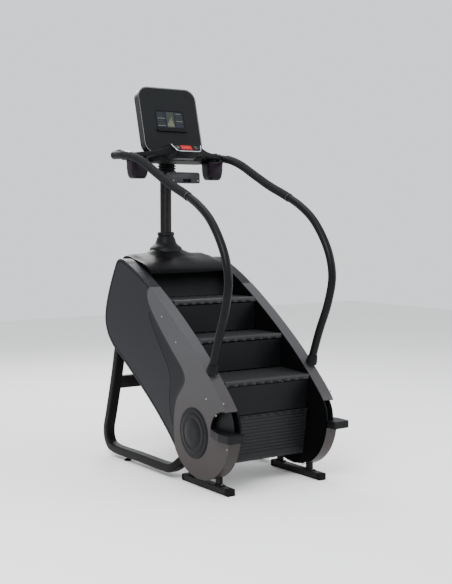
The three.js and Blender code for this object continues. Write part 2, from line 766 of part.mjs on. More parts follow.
// Collar flange at the lower end, a round tube, and a thicker grip at the console end.
function handrail() {
  const rail = tube(RAIL_POINTS, ovalSection(RAIL_RADIUS * 2, RAIL_RADIUS * 2, 10), 30);
  const grip = tube([[345, 772, 1832], [345, 840, 1837], [345, 903, 1838]], ovalSection(GRIP_RADIUS * 2, GRIP_RADIUS * 2, 12), 4);
  const pocket = block([345 - 8, 345 + 8], [SWITCH.y[0] - 1, SWITCH.y[1] + 1], [SWITCH.pocketFloor, 1890]);
  const collar = new THREE.CylinderGeometry(24, 27, 42, 14);
  collar.rotateX(Math.PI / 2 + 0.31);
  collar.translate(337, -136, 661);
  const surface = acrossX(new THREE.Shape(offsetOutline(housingOutline(), GAP)), [250, 400]);
  return cut(joined(rail, grip, collar), pocket, surface);
}

function gripSwitch() {
  const { y, halfWidth, pocketFloor, top } = SWITCH;
  return block([345 - halfWidth, 345 + halfWidth], y, [pocketFloor + 3, top]);
}

// ---------------------------------------------------------------- console

// Extrudes an outline drawn on the console's face; depth runs back from the face.
function behindFace(shape, [d0, d1], curveSegments = 8) {
  const geometry = new THREE.ExtrudeGeometry(shape, { depth: d1 - d0, bevelEnabled: false, curveSegments });
  geometry.rotateX(Math.PI / 2);
  geometry.translate(0, d1, 0);
  return geometry;
}

function onConsole(mesh) {
  mesh.position.set(0, CONSOLE.y, CONSOLE.z);
  mesh.rotation.x = CONSOLE.tilt;
  return mesh;
}

function consoleShell() {
  const { half, low, high } = CONSOLE;
  const outer = behindFace(roundedRectangle(half, low, high, CONSOLE_CORNER), [0, 50], 5);
  const recess = behindFace(roundedRectangle(half - 5, low + 5, high - 5, CONSOLE_CORNER - 5), [-5, 7], 5);
  return cut(outer, recess);
}

function consoleFace() {
  const { half, low, high } = CONSOLE;
  const inset = 5 + GAP;
  const plate = behindFace(roundedRectangle(half - inset, low + inset, high - inset, CONSOLE_CORNER - inset), [0.5, 6.5], 5);
  const screen = behindFace(roundedRectangle(101, 84, 197, 6), [-5, 3], 3);
  return cut(plate, screen);
}

// A ribbed sleeve that leans forward from the mast to the underside of the console.
function consoleNeck() {
  const ribs = [58, 50, 58, 50, 58, 50, 54];
  const spacing = 18;
  const profile = [[0, 0], ...ribs.map((r, i) => [r, i * spacing]), [0, (ribs.length - 1) * spacing]];
  const geometry = new THREE.LatheGeometry(profile.map(([r, z]) => new THREE.Vector2(r, z)), 20);
  geometry.rotateX(Math.PI / 2);
  geometry.rotateX(0.3);
  geometry.translate(0, 848, 1748);
  const console = onConsole(new THREE.Mesh(behindFace(roundedRectangle(240, -81, 360, 20), [-20, 80], 2)));
  console.updateMatrix();
  const mastTop = block([-80, 80], [760, 960], [1600, MAST.top + GAP]);
  return cut(geometry, console.geometry.applyMatrix4(console.matrix), mastTop);
}

// The keypad is the sloping front of the control tray; its lower edge is this far forward and up.
const KEYPAD = { y: 600, z: 1858, slope: Math.PI / 4, length: 61 };

// Places a key on the keypad; across and up are its middle.
function onTray(geometry, across, up) {
  geometry.rotateX(KEYPAD.slope);
  geometry.translate(across, KEYPAD.y + up * Math.cos(KEYPAD.slope), KEYPAD.z + up * Math.sin(KEYPAD.slope));
  return geometry;
}

const KEYS = {
  stop_button: { across: -8, up: 32, size: [78, 36], finish: STOP_RED },
  speed_key: { across: 59, up: 32, size: [42, 36], finish: BLACK_PLASTIC },
  level_key: { across: -71, up: 32, size: [34, 36], finish: BLACK_PLASTIC },
};
const KEY_FLOOR = -9;
const KEY_TOP = 2;
const KEY_TRAVEL = 3;

function keyBlock([width, height], low, high, margin) {
  const [w, h] = [width / 2 + margin, height / 2 + margin];
  return block([-w, w], [-h, h], [low, high]);
}

const hull = (points) => geometryOf(wasm.Manifold.hull(points));
const bothSides = (points) => points.flatMap(([x, y, z]) => [[x, y, z], [-x, y, z]]);

// The keypad body stands out in front of the console.
const TRAY_BODY = [
  [80, 602, 1851], [85, 600, 1858], [112, 643, 1901], [112, 653, 1901], [122, 776, 1866], [122, 776, 1800],
  [60, 640, 1818],
];
// Each arm drops away from the keypad body, then runs level to the handrail round its cup.
const ARM_ROOT = [
  [95, 640, 1897], [95, 700, 1888], [95, 640, 1850], [95, 775, 1808], [95, 775, 1862],
  [185, 672, 1862], [185, 672, 1832], [185, 780, 1858], [185, 780, 1808],
];
const ARM_END = [
  [184, 672, 1862], [184, 672, 1832], [184, 790, 1856], [184, 790, 1808],
  [318.5, 712, 1844], [318.5, 712, 1818], [318.5, 800, 1845], [318.5, 800, 1808],
];
const CUP_MOUTH_RADIUS = 44;

// Keypad body, the body below the console and the arms that carry the cups and both handrails.
function controlTray() {
  const arms = [ARM_ROOT, ARM_END].flatMap((points) => [hull(points), hull(points.map(([x, y, z]) => [-x, y, z]))]);
  const under = hull(bothSides([
    [150, 700, 1806], [190, 752, 1789], [205, 852, 1791], [205, 852, 1838], [205, 740, 1840], [150, 700, 1838],
  ]));
  const crossArm = block([-318.5, 318.5], [785, 862], [1807, 1845]);
  const neckHole = new THREE.CylinderGeometry(60, 60, 300, 20);
  neckHole.rotateX(Math.PI / 2 + 0.3);
  neckHole.translate(0, 822, 1830);
  const console = onConsole(new THREE.Mesh(behindFace(roundedRectangle(240, -81, 360, 20), [-1, 80], 2)));
  console.updateMatrix();
  const pockets = Object.values(KEYS).map(({ across, up, size }) => {
    return onTray(keyBlock(size, KEY_FLOOR - KEY_TRAVEL - 1, 20, 1), across, up);
  });
  const cupMouths = [-CUP.x, CUP.x].map((x) => barZ(x, CUP.y, [CUP.top - 1, 1900], CUP_MOUTH_RADIUS, 24));
  const body = joined(hull(bothSides(TRAY_BODY)), under, crossArm, ...arms);
  return cut(body, neckHole, console.geometry.applyMatrix4(console.matrix), ...pockets, ...cupMouths);
}

function trayKeys() {
  return Object.entries(KEYS).map(([name, { across, up, size, finish }]) => {
    return piece(name, onTray(keyBlock(size, KEY_FLOOR, KEY_TOP, 0), across, up), finish);
  });
}

// An open-topped cup with a rounded square plan and a narrower foot.
function cupHolder() {
  const { x, y, half, bottom, top } = CUP;
  const cup = (halfTop, halfLow, low, high) => {
    const radius = Math.SQRT2;
    const geometry = new THREE.CylinderGeometry(halfTop * radius, halfLow * radius, high - low, 4, 1);
    geometry.rotateY(Math.PI / 4);
    geometry.rotateX(Math.PI / 2);
    geometry.translate(x, y, (low + high) / 2);
    return geometry;
  };
  const outside = joined(cup(half, half - 5, bottom + 34, top), cup(half - 5, half - 18, bottom, bottom + 34));
  const round = barZ(x, y, [bottom - 5, top + 5], half * 1.22, 24);
  const hollow = barZ(x, y, [bottom + 4, top + 5], half - 10, 20);
  return cut(common(outside, round), hollow);
}

// Small module under the tray, on a bracket from the neck of the mast.
function receiverBox() {
  const body = block([-100, 100], [640, 700], [1669, 1735]);
  const socket = block([-20, 37], [630, 655], [1675, 1694]);
  const bracket = block([-24, 24], [695, MAST.y - MAST.r - GAP], [1694, 1714]);
  return cut(joined(body, bracket), socket);
}

function consoleAndRails() {
  return [
    ...pair('handrail', handrail(), FRAME_PAINT),
    ...pair('grip_switch', gripSwitch(), RUBBER),
    onConsole(piece('console_shell', consoleShell(), SILVER_GREY)),
    onConsole(piece('console_face', consoleFace(), GLOSS_BLACK)),
    piece('console_neck', consoleNeck(), BLACK_PLASTIC),
    piece('control_tray', controlTray(), BLACK_PLASTIC),
    ...trayKeys(),
    ...pair('cup_holder', cupHolder(), BLACK_PLASTIC),
    piece('receiver_box', receiverBox(), SILVER_GREY),
  ];
}

// ---------------------------------------------------------------- the whole machine

const machine = new THREE.Group();
machine.position.y = -FOOTPRINT_MIDDLE_Y;
machine.add(...steps(), driveTrain(), ...housings(), ...standAndFeet(), ...coversAndMast(), ...consoleAndRails());

export default machine;
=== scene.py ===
import math

import bmesh
import bpy
from mathutils import Matrix, Vector


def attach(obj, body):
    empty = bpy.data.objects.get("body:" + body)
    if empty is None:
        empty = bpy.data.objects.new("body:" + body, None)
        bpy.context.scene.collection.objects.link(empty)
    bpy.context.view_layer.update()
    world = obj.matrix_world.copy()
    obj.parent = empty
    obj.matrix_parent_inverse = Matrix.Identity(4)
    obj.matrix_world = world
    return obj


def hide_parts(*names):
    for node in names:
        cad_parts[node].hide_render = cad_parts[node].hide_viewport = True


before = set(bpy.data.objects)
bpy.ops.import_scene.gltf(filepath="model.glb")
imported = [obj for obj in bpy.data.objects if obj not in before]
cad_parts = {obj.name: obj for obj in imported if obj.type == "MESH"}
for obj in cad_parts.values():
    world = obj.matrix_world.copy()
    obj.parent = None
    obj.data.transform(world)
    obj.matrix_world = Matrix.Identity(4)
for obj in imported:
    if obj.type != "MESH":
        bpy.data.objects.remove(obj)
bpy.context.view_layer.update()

# Lengths are in metres. Y is measured from the middle of the hub cover, as in the CAD source, and HUB_Y
# turns it into the frame's own Y. X and Z are the frame's own.
HUB_Y = -0.308
HUB_Z = .2967
SIDES = (("left", -1), ("right", 1))


# ---------------------------------------------------------------- materials

# How far a convex edge has to stand out before its wear starts, and is full.
WEAR_STARTS, WEAR_FULL = 0.52, 0.62


def linear(hex_colour):
    """A hex colour as linear RGB."""
    values = [int(hex_colour[i:i + 2], 16) / 255 for i in (0, 2, 4)]
    return [v / 12.92 if v <= 0.04045 else ((v + 0.055) / 1.055) ** 2.4 for v in values]


def surface(name, colour, roughness, metallic=0.0, grain=700, bump=0.00015, mottle=0.06, rough_spread=0.07,
            wear=0.0, wear_colour="606266", stretch=(1, 1, 1), shade_gradient=None, specular=0.10):
    """A procedural finish: fine grain, slow colour mottling, uneven roughness and worn edges.

    The shade gradient is (low, high, colour): painted shade whose colour is full at the height low and gone
    at the height high.
    """
    material = bpy.data.materials.new(name)
    material.use_nodes = True
    tree = material.node_tree
    shader = tree.nodes["Principled BSDF"]
    shader.inputs["Metallic"].default_value = metallic
    shader.inputs["Specular IOR Level"].default_value = specular

    def node(kind, **inputs):
        made = tree.nodes.new(kind)
        for key, value in inputs.items():
            made.inputs[key.replace("_", " ")].default_value = value
        return made

    def link(source, target):
        tree.links.new(source, target)

    def ramp(source, **limits):
        made = node("ShaderNodeMapRange", **limits)
        link(source, made.inputs["Value"])
        return made.outputs["Result"]

    def blend(factor, first, second):
        """Mixes two colours, each of them four numbers or the output of a node."""
        made = tree.nodes.new("ShaderNodeMix")
        made.data_type = "RGBA"
        link(factor, made.inputs["Factor"])
        for key, value in (("A", first), ("B", second)):
            if isinstance(value, list):
                made.inputs[key].default_value = value
            else:
                link(value, made.inputs[key])
        return made.outputs["Result"]

    coords = node("ShaderNodeTexCoord").outputs["Object"]
    mapping = node("ShaderNodeMapping", Scale=stretch)
    link(coords, mapping.inputs["Vector"])
    fine = node("ShaderNodeTexNoise", Scale=grain, Detail=3.0, Roughness=0.6)
    slow = node("ShaderNodeTexNoise", Scale=7.0, Detail=4.0, Roughness=0.55)
    patchy = node("ShaderNodeTexNoise", Scale=34.0, Detail=5.0, Roughness=0.6)
    for texture in (fine, slow, patchy):
        link(mapping.outputs["Vector"], texture.inputs["Vector"])

    base = linear(colour)
    dark = [c * (1 - mottle) for c in base] + [1]
    light = [min(1, c * (1 + mottle)) for c in base] + [1]
    colour_out = blend(slow.outputs["Fac"], dark, light)
    # painted shade: below a height the colour darkens towards the shade colour
    if shade_gradient:
        low, high, shade_colour = shade_gradient
        split = node("ShaderNodeSeparateXYZ")
        link(coords, split.inputs[0])
        height = ramp(split.outputs["Z"], From_Min=low, From_Max=high)
        colour_out = blend(height, linear(shade_colour) + [1], colour_out)
    if wear:
        edges = ramp(node("ShaderNodeNewGeometry").outputs["Pointiness"],
                     From_Min=WEAR_STARTS, From_Max=WEAR_FULL, To_Max=wear)
        broken = node("ShaderNodeMath")
        broken.operation = "MULTIPLY"
        link(edges, broken.inputs[0])
        link(patchy.outputs["Fac"], broken.inputs[1])
        colour_out = blend(broken.outputs[0], colour_out, linear(wear_colour) + [1])
    link(colour_out, shader.inputs["Base Color"])
    link(ramp(patchy.outputs["Fac"], To_Min=max(0.02, roughness - rough_spread),
              To_Max=min(1, roughness + rough_spread)), shader.inputs["Roughness"])

    relief = node("ShaderNodeBump", Strength=0.5, Distance=bump)
    link(fine.outputs["Fac"], relief.inputs["Height"])
    link(relief.outputs["Normal"], shader.inputs["Normal"])
    return material


CHARCOAL = surface("charcoal_panel", "131418", 0.40, grain=1500, bump=0.0001, wear=0.2)
# The shroud's lower part is painted shade: it darkens to brownish towards the floor.
SILVER = surface("silver_shroud", "373739", 0.36, grain=1800, bump=0.00006, wear=0.15, specular=0.16,
                 shade_gradient=(0.1, 0.75, "2a2322"))
BLACK = surface("black_plastic", "0a0b0c", 0.48, grain=1100, bump=0.00018, wear=0.2, wear_colour="3a3b3e")
SATIN_BLACK = surface("satin_black", "060708", 0.34, grain=900, bump=0.00006, specular=0.12)
GLOSS = surface("gloss_black", "1a1b1c", 0.22, grain=500, bump=0.00001, rough_spread=0.03, specular=0.04)
SCREEN = surface("screen_glass", "12141a", 0.20, grain=400, bump=0.00001, rough_spread=0.03, specular=0.05)
FRAME = surface("frame_paint", "0c0b0b", 0.42, grain=1300, bump=0.00022, wear=0.3, wear_colour="4c4846",
                specular=0.08)
RAIL_GREY = surface("rail_grey", "0d0e0f", 0.34, specular=0.09, grain=1300, bump=0.00014, wear=0.15)
SLEEVE = surface("grip_sleeve", "101113", 0.70, grain=420, bump=0.0006, mottle=0.12)
DECK = surface("step_deck", "0d0e0f", 0.48, specular=0.16, grain=800, bump=0.00028, wear=0.35,
               wear_colour="4c4e51")
NOSE = surface("step_nose", "1a1b1c", 0.42, specular=0.16, grain=900, bump=0.00015, wear=0.3,
               wear_colour="55575a")
RISER = surface("riser_black", "0a0b0c", 0.36, grain=900, bump=0.00012, mottle=0.1, wear=0.2,
                wear_colour="3c3e41")
DARK_STEEL = surface("dark_steel", "55575a", 0.34, metallic=1.0, grain=500, bump=0.00006)
STEEL = surface("steel", "8c8e92", 0.30, metallic=1.0, grain=500, bump=0.00008, stretch=(0.2, 1, 1), wear=0.2)
BRIGHT = surface("bright_trim", "9a9ca0", 0.30, metallic=1.0, grain=600, bump=0.00003)
# Near-black and dull: painted shade for parts that sit in shade, the sheet in the panel groove, the inner
# skirts and the main frame.
SHADE_BLACK = surface("painted_shade_black", "050506", 0.7, grain=1100, bump=0.00018, specular=0.03)
COVER_BLACK = surface("cover_black", "060607", 0.36, grain=1200, bump=0.00005, specular=0.035)
OILED = surface("oiled_steel", "0d0c0b", 0.5, metallic=0.3, grain=600, bump=0.0001)
# Darker than the panel: painted shade in the swoosh recess.
SWOOSH_SHADE = surface("swoosh_painted_shade", "0b0c0f", 0.4, grain=1500, bump=0.0001)
RUBBER = surface("rubber", "0c0c0d", 0.80, grain=600, bump=0.0004)
STOP_RED = surface("stop_red", "850509", 0.42, grain=900, bump=0.00005, specular=0.15)
KEY_GREY = surface("key_grey", "101114", 0.42, grain=900, bump=0.00008)
RECEIVER = surface("receiver_grey", "1e1f21", 0.42, grain=1300, bump=0.0001, wear=0.2)
SHELL_GREY = surface("console_shell_grey", "131416", 0.36, specular=0.16, grain=1500, bump=0.00006, wear=0.2)
HUB_DARK = surface("hub_dark", "0b0b0e", 0.40, grain=1300, bump=0.0001, wear=0.2, specular=0.09)
DISPLAY_DIM = surface("display_dim", "191d24", 0.3, grain=300, bump=0.00001)
DISPLAY_MID = surface("display_mid", "2b2f2b", 0.3, grain=300, bump=0.00001)
DISPLAY_LIGHT = surface("display_light", "57584a", 0.3, grain=300, bump=0.00001)
MARK_RED = surface("mark_red", "a02420", 0.3, grain=600, bump=0.00002)
# The cups darken towards their bottoms: painted shade inside them and under the tray.
CUP_PLUM = surface("cup_plum", "160c16", 0.34, grain=900, bump=0.00008, wear=0.2, wear_colour="3c2436",
                   shade_gradient=(1.70, 1.80, "0b0a0c"))


# ---------------------------------------------------------------- mesh helpers

def retouch(obj, material, body="frame", angle=32):
    """Gives a piece one material, smooth shading with creases over an angle, and a body to ride on."""
    mesh = obj.data
    mesh.materials.clear()
    mesh.materials.append(material)
    for polygon in mesh.polygons:
        polygon.use_smooth = True
        polygon.material_index = 0
    mesh.set_sharp_from_angle(angle=math.radians(angle))
    if body:
        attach(obj, body)
    return obj


def make(name, verts, faces, material, body="frame", angle=32):
    mesh = bpy.data.meshes.new(name)
    mesh.from_pydata([tuple(v) for v in verts], [], faces)
    return finish_mesh(name, mesh, material, body, angle)


def finish_mesh(name, mesh, material, body, angle=32):
    """Merges double points, turns the faces out and makes the mesh a piece. A tool has no body."""
    bm = bmesh.new()
    bm.from_mesh(mesh)
    bmesh.ops.remove_doubles(bm, verts=bm.verts, dist=1e-6)
    bmesh.ops.recalc_face_normals(bm, faces=bm.faces)
    bm.to_mesh(mesh)
    bm.free()
    obj = bpy.data.objects.new(name, mesh)
    bpy.context.scene.collection.objects.link(obj)
    return retouch(obj, material, body, angle)


def fit(piece, node=None):
    """Hides the CAD node that a piece stands for, if any; the piece is not used."""
    if node:
        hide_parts(node)


def bevel(obj, width, segments=3, angle=35):
    modifier = obj.modifiers.new("bevel", "BEVEL")
    modifier.width = width
    modifier.segments = segments
    modifier.limit_method = "ANGLE"
    modifier.angle_limit = math.radians(angle)
    modifier.harden_normals = True
    return obj


def extrude(name, outline, ends, place, material, body, width, segments):
    """An outline run between two depths. place(a, b, depth) is a point; width is that of the bevel."""
    count = len(outline)
    verts = [place(a, b, depth) for depth in ends for a, b in outline]
    sides = [(i, (i + 1) % count, (i + 1) % count + count, i + count) for i in range(count)]
    faces = [tuple(range(count)), tuple(range(2 * count - 1, count - 1, -1)), *sides]
    piece = make(name, verts, faces, material, body)
    return bevel(piece, width, segments) if width else piece


def prism(name, outline, x0, x1, material, body="frame", width=0.0, segments=2):
    """A side-view outline of (Y, Z) points, run across from x0 to x1."""
    return extrude(name, outline, (x0, x1), lambda y, z, x: (x, y + HUB_Y, z), material, body, width,
                   segments)


def slab(name, outline, y0, y1, material, body="frame", width=0.0, segments=3):
    """A front-view outline of (X, Z) points, run back from y0 to y1."""
    return extrude(name, outline, (y0, y1), lambda x, z, y: (x, y + HUB_Y, z), material, body, width,
                   segments)


def box(name, low, high, material, body="frame", width=0.0015, segments=3):
    (x0, y0, z0), (x1, y1, z1) = low, high
    verts = [(x, y + HUB_Y, z) for x in (x0, x1) for y in (y0, y1) for z in (z0, z1)]
    faces = [(0, 1, 3, 2), (4, 6, 7, 5), (0, 4, 5, 1), (2, 3, 7, 6), (0, 2, 6, 4), (1, 5, 7, 3)]
    piece = make(name, verts, faces, material, body)
    return bevel(piece, width, segments) if width else piece


def applied(obj):
    """Bakes the modifiers of a piece into its mesh."""
    evaluated = obj.evaluated_get(bpy.context.evaluated_depsgraph_get())
    mesh = bpy.data.meshes.new_from_object(evaluated)
    obj.modifiers.clear()
    obj.data = mesh
    return obj


def boolean(obj, tool, operation="DIFFERENCE"):
    modifier = obj.modifiers.new("cut", "BOOLEAN")
    modifier.object = tool
    modifier.operation = operation
    modifier.solver = "EXACT"
    applied(obj)
    bpy.data.objects.remove(tool)
    return obj


def cut(obj, outline, x0, x1, operation="DIFFERENCE"):
    """Cuts a side-view outline out of a piece, between two places across."""
    return boolean(obj, prism("t", outline, x0, x1, BLACK, None), operation)


def spline(points, spacing):
    """A smooth curve through points (centripetal Catmull-Rom), sampled about evenly."""
    pts = [Vector(p) for p in points]
    pts = [pts[0] * 2 - pts[1], *pts, pts[-1] * 2 - pts[-2]]
    out = []
    for p0, p1, p2, p3 in zip(pts, pts[1:], pts[2:], pts[3:]):
        t0 = 0
        t1 = t0 + (p1 - p0).length ** 0.5
        t2 = t1 + (p2 - p1).length ** 0.5
        t3 = t2 + (p3 - p2).length ** 0.5
        steps = max(2, round((p2 - p1).length / spacing))
        for k in range(steps):
            t = t1 + (t2 - t1) * k / steps
            a1 = p0 * ((t1 - t) / (t1 - t0)) + p1 * ((t - t0) / (t1 - t0))
            a2 = p1 * ((t2 - t) / (t2 - t1)) + p2 * ((t - t1) / (t2 - t1))
            a3 = p2 * ((t3 - t) / (t3 - t2)) + p3 * ((t - t2) / (t3 - t2))
            b1 = a1 * ((t2 - t) / (t2 - t0)) + a2 * ((t - t0) / (t2 - t0))
            b2 = a2 * ((t3 - t) / (t3 - t1)) + a3 * ((t - t1) / (t3 - t1))
            out.append(b1 * ((t2 - t) / (t2 - t1)) + b2 * ((t - t1) / (t2 - t1)))
    out.append(pts[-2])
    return out


def loft(name, rings, material, angle=40):
    """Joins rings that all have the same count of points, and closes both ends."""
    n, last = len(rings[0]), len(rings) - 1
    faces = [(i * n + k, i * n + (k + 1) % n, (i + 1) * n + (k + 1) % n, (i + 1) * n + k)
             for i in range(last) for k in range(n)]
    faces += [tuple(range(n)), tuple(range(last * n, (last + 1) * n))]
    return make(name, [point for ring in rings for point in ring], faces, material, angle=angle)


def along(path, section, size=lambda share: 1, level=False):
    """Rings of a section's (across, up) points, square to a path.

    Across stays by the X axis or, if level, by the floor. Size is a function of the share of the path.
    """
    rings = []
    last = len(path) - 1
    for i, point in enumerate(path):
        tangent = (path[min(i + 1, last)] - path[max(i - 1, 0)]).normalized()
        across = tangent.cross(Vector((0, 0, 1))) if level else Vector((1, 0, 0)) - tangent * tangent.x
        across.normalize()
        up = across.cross(tangent)
        centre = point + Vector((0, HUB_Y, 0))
        rings.append([centre + (across * a + up * b) * size(i / last) for a, b in section])
    return rings


def circle(radius, count):
    return [(radius * math.cos(math.tau * k / count), radius * math.sin(math.tau * k / count))
            for k in range(count)]


def sweep(name, path, radius, material, ends=0.004, size=lambda share: 1):
    """A tube along a path, with rounded ends."""
    return bevel(loft(name, along(path, circle(radius, 32), size), material), ends, 3, 60)


def lathe(name, profile, place, material, body="frame", steps=64, angle=32):
    """A profile of (radius, height) turned about its axis; place is a 4x4 matrix with the axis on Z."""
    verts, faces, rings = [], [], []
    for r, h in profile:
        if r < 1e-6:
            rings.append([len(verts)])
            verts.append(place @ Vector((0, 0, h)))
            continue
        rings.append(list(range(len(verts), len(verts) + steps)))
        verts += [place @ Vector((x, y, h)) for x, y in circle(r, steps)]
    for a, b in zip(rings, rings[1:]):
        for k in range(steps):
            n = (k + 1) % steps
            if len(a) == 1 and len(b) == 1:
                continue
            if len(a) == 1:
                faces.append((a[0], b[k], b[n]))
            elif len(b) == 1:
                faces.append((a[k], b[0], a[n]))
            else:
                faces.append((a[k], b[k], b[n], a[n]))
    return make(name, verts, faces, material, body, angle)


def at(x, y, z, rx=0.0, ry=0.0):
    """A place turned about X, then about Y."""
    turn = Matrix.Rotation(ry, 4, "Y") @ Matrix.Rotation(rx, 4, "X")
    return Matrix.Translation((x, y + HUB_Y, z)) @ turn


def bezier(p0, p1, p2, p3, steps):
    out = []
    for k in range(steps):
        t = k / steps
        s = 1 - t
        out.append(tuple(s**3 * a + 3 * s * s * t * b + 3 * s * t * t * c + t**3 * d
                         for a, b, c, d in zip(p0, p1, p2, p3)))
    return out


def outline_from(start, segments, steps):
    """Points along lines (1 point), quadratic (2) and cubic (3) stretches, given in millimetres."""
    out, here = [], start
    for segment in segments:
        if len(segment) == 1:
            out.append(here)
        elif len(segment) == 2:
            c, end = segment
            c1 = tuple(h + (q - h) * 2 / 3 for h, q in zip(here, c))
            c2 = tuple(e + (q - e) * 2 / 3 for e, q in zip(end, c))
            out += bezier(here, c1, c2, end, steps)
        else:
            out += bezier(here, *segment, steps)
        here = segment[-1]
    return [(y / 1000, z / 1000) for y, z in out]


def offset(points, distance):
    """Moves a counter-clockwise outline outwards, or inwards when negative."""
    out = []
    for i, (y, z) in enumerate(points):
        py, pz = points[i - 1]
        ny, nz = points[(i + 1) % len(points)]
        into = Vector((y - py, z - pz)).normalized()
        leave = Vector((ny - y, nz - z)).normalized()
        normal = Vector((into.y + leave.y, -into.x - leave.x)).normalized()
        out.append((y + normal.x * distance, z + normal.y * distance))
    return out


def arc(centre_a, centre_b, radius, start, steps):
    """A quarter circle of points from an angle in degrees."""
    turns = [math.radians(start + 90 * k / steps) for k in range(steps + 1)]
    return [(centre_a + radius * math.cos(t), centre_b + radius * math.sin(t)) for t in turns]


def rounded_outline(half, low, high, corner, steps=12):
    """A rectangle from -half to half and from low to high, with rounded corners."""
    right, bottom, top = half - corner, low + corner, high - corner
    return [*arc(right, bottom, corner, -90, steps), *arc(right, top, corner, 0, steps),
            *arc(-right, top, corner, 90, steps), *arc(-right, bottom, corner, 180, steps)]


def rectangle(a0, a1, b0, b1):
    return [(a0, b0), (a1, b0), (a1, b1), (a0, b1)]


def shifted(outline, across):
    return [(a + across, b) for a, b in outline]


# ---------------------------------------------------------------- side housings

HOUSING = outline_from((-60, 54), [
    [(60, 54), (140, 110), (190, 178)],
    [(330, 318), (581, 481)],
    [(800, 618)],
    [(900, 668), (1010, 740), (1009, 850)],
    [(1008, 950), (925, 1090), (872, 1180)],
    [(845, 1224), (800, 1228), (716, 1188)],
    [(590, 1140), (466, 1067)],
    [(210, 918), (-36, 722)],
    [(-160, 618), (-245, 533)],
    [(-322, 456), (-347, 420), (-347, 350)],
    [(-347, 180), (-220, 54), (-60, 54)],
], 20)
REGION = outline_from((-500, -60), [
    [(215, -60)], [(192, 178)],
    [(212, 290), (208, 400), (168, 468)],
    [(130, 522), (86, 540), (88, 585)],
    [(92, 622), (125, 645), (160, 675)],
    [(280, 772), (400, 880), (455, 945)],
    [(505, 1000), (500, 1045), (459, 1068)],
    [(440, 1110)], [(-500, 1110)], [(-500, -60)],
], 18)
# A shallow swoosh sunk into the panel beside the shroud; the darker sheet in it is painted shade.
PANEL_BAND = outline_from((214, 300), [
    [(240, 340), (268, 420), (250, 520)],
    [(238, 575), (262, 622), (320, 690)],
    [(372, 752), (452, 838), (474, 900)],
    [(478, 925), (470, 930), (458, 918)],
    [(395, 838), (275, 742), (170, 660)],
    [(118, 622), (108, 600), (114, 572)],
    [(122, 545), (160, 520), (188, 470)],
    [(214, 420), (222, 350), (214, 300)],
], 14)
UNDERSIDE = [(y / 1000, z / 1000) for y, z in (
    (-120, 115), (-120, -50), (400, -50), (1000, 560), (905, 735), (560, 500), (183, 215))]


SKIN = 0.003
INNER_FACE, PANEL_FACE, SHROUD_FACE = 0.290, 0.358, 0.361
# Ranges across that run right through a housing, and from its inside to the back of its outer skin.
THROUGH = (0.2, 0.4)
INSIDE = 0.28
# Depth of the swoosh and of the groove in the panel, and the groove's distances from the panel's edge.
PANEL_RECESS = (0.3566, 0.37)
GROOVE_OUTER, GROOVE_INNER = -0.0130, -0.0175
FOOT_POSTS = (("a", -.170), ("b", .100))


def span(side, a, b):
    """A range across, mirrored for the left side."""
    return sorted((side * a, side * b))


def housing(name, side, outer):
    """The whole side outline as a skin that is open towards the stairs and at the bottom."""
    body = prism(name, HOUSING, *span(side, INNER_FACE, outer), CHARCOAL, None)
    for outline in (offset(HOUSING, -SKIN), UNDERSIDE):
        cut(body, outline, *span(side, INSIDE, outer - SKIN))
    return body


def toe_recess(back_y, bend_y):
    """The recess above a foot pad, in millimetres: flat below, and round at the top of its back."""
    return outline_from((-370, 345.5), [
        [(back_y, 345.5)], [(back_y - 4, 410), (bend_y, 455.5), (-300, 455.5)],
        [(-370, 455.5)], [(-370, 345.5)]], 14)


for label, side in SIDES:
    through = span(side, *THROUGH)
    panel = housing(f"panel_{label}", side, PANEL_FACE)
    cut(panel, REGION, *through)
    low_x, high_x = span(side, *PANEL_RECESS)
    cut(panel, PANEL_BAND, low_x, high_x)
    groove = prism("t", offset(HOUSING, GROOVE_OUTER), low_x, high_x, BLACK, None)
    cut(groove, offset(HOUSING, GROOVE_INNER), low_x - 0.01, high_x + 0.01)
    boolean(panel, groove)
    # a near-black sheet at the bottom of the groove is painted shade in the groove
    groove_shade = prism(f"panel_groove_shade_{label}", offset(HOUSING, GROOVE_OUTER - 0.0006), *span(side, 0.3564, 0.3576),
                 BLACK, None)
    cut(groove_shade, offset(HOUSING, GROOVE_INNER + 0.0006), *span(side, 0.35, 0.37))
    cut(groove_shade, REGION, *through)
    fit(retouch(groove_shade, SHADE_BLACK))
    # a darker sheet in the swoosh recess: painted shade
    band_shade = prism(f"panel_band_{label}", offset(PANEL_BAND, -0.0008), *span(side, 0.3564, 0.3570), SWOOSH_SHADE,
                  None)
    cut(band_shade, offset(REGION, 0.0015), *through)
    fit(retouch(band_shade, SWOOSH_SHADE))
    fit(bevel(retouch(panel, CHARCOAL), 0.0012), f"side_panel_{label}")

    shroud = housing(f"shroud_{label}", side, SHROUD_FACE)
    cut(shroud, offset(REGION, -0.0008), *through, "INTERSECT")
    for back_y, bend_y, inner_x, outer_x in ((-164, -232, 0.3315, 0.4), (-204, -252, INSIDE, 0.3355)):
        cut(shroud, toe_recess(back_y, bend_y), *span(side, inner_x, outer_x))
    for back_y, inner_x in ((-0.165, 0.3315), (-0.205, INSIDE)):  # room for the foot pad
        cut(shroud, rectangle(-0.45, back_y, 0.3055, 0.3465), *span(side, inner_x, 0.42))
    for _, post_y in FOOT_POSTS:
        cut(shroud, rectangle(post_y - 0.023, post_y + 0.023, 0, 0.131), *span(side, INSIDE, 0.323))
    fit(bevel(retouch(shroud, SILVER), 0.003), f"side_shroud_{label}")

for label, side in SIDES:
    # the inner skirts get the near-black painted shade of the deep toe recess
    for name, material, width in (("inner_skirt", SHADE_BLACK, 0.0005), ("foot_pad", BLACK, 0.0022)):
        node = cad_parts[f"{name}_{label}"]
        node.data.materials[0] = material
        bevel(node, width)


# ---------------------------------------------------------------- steps

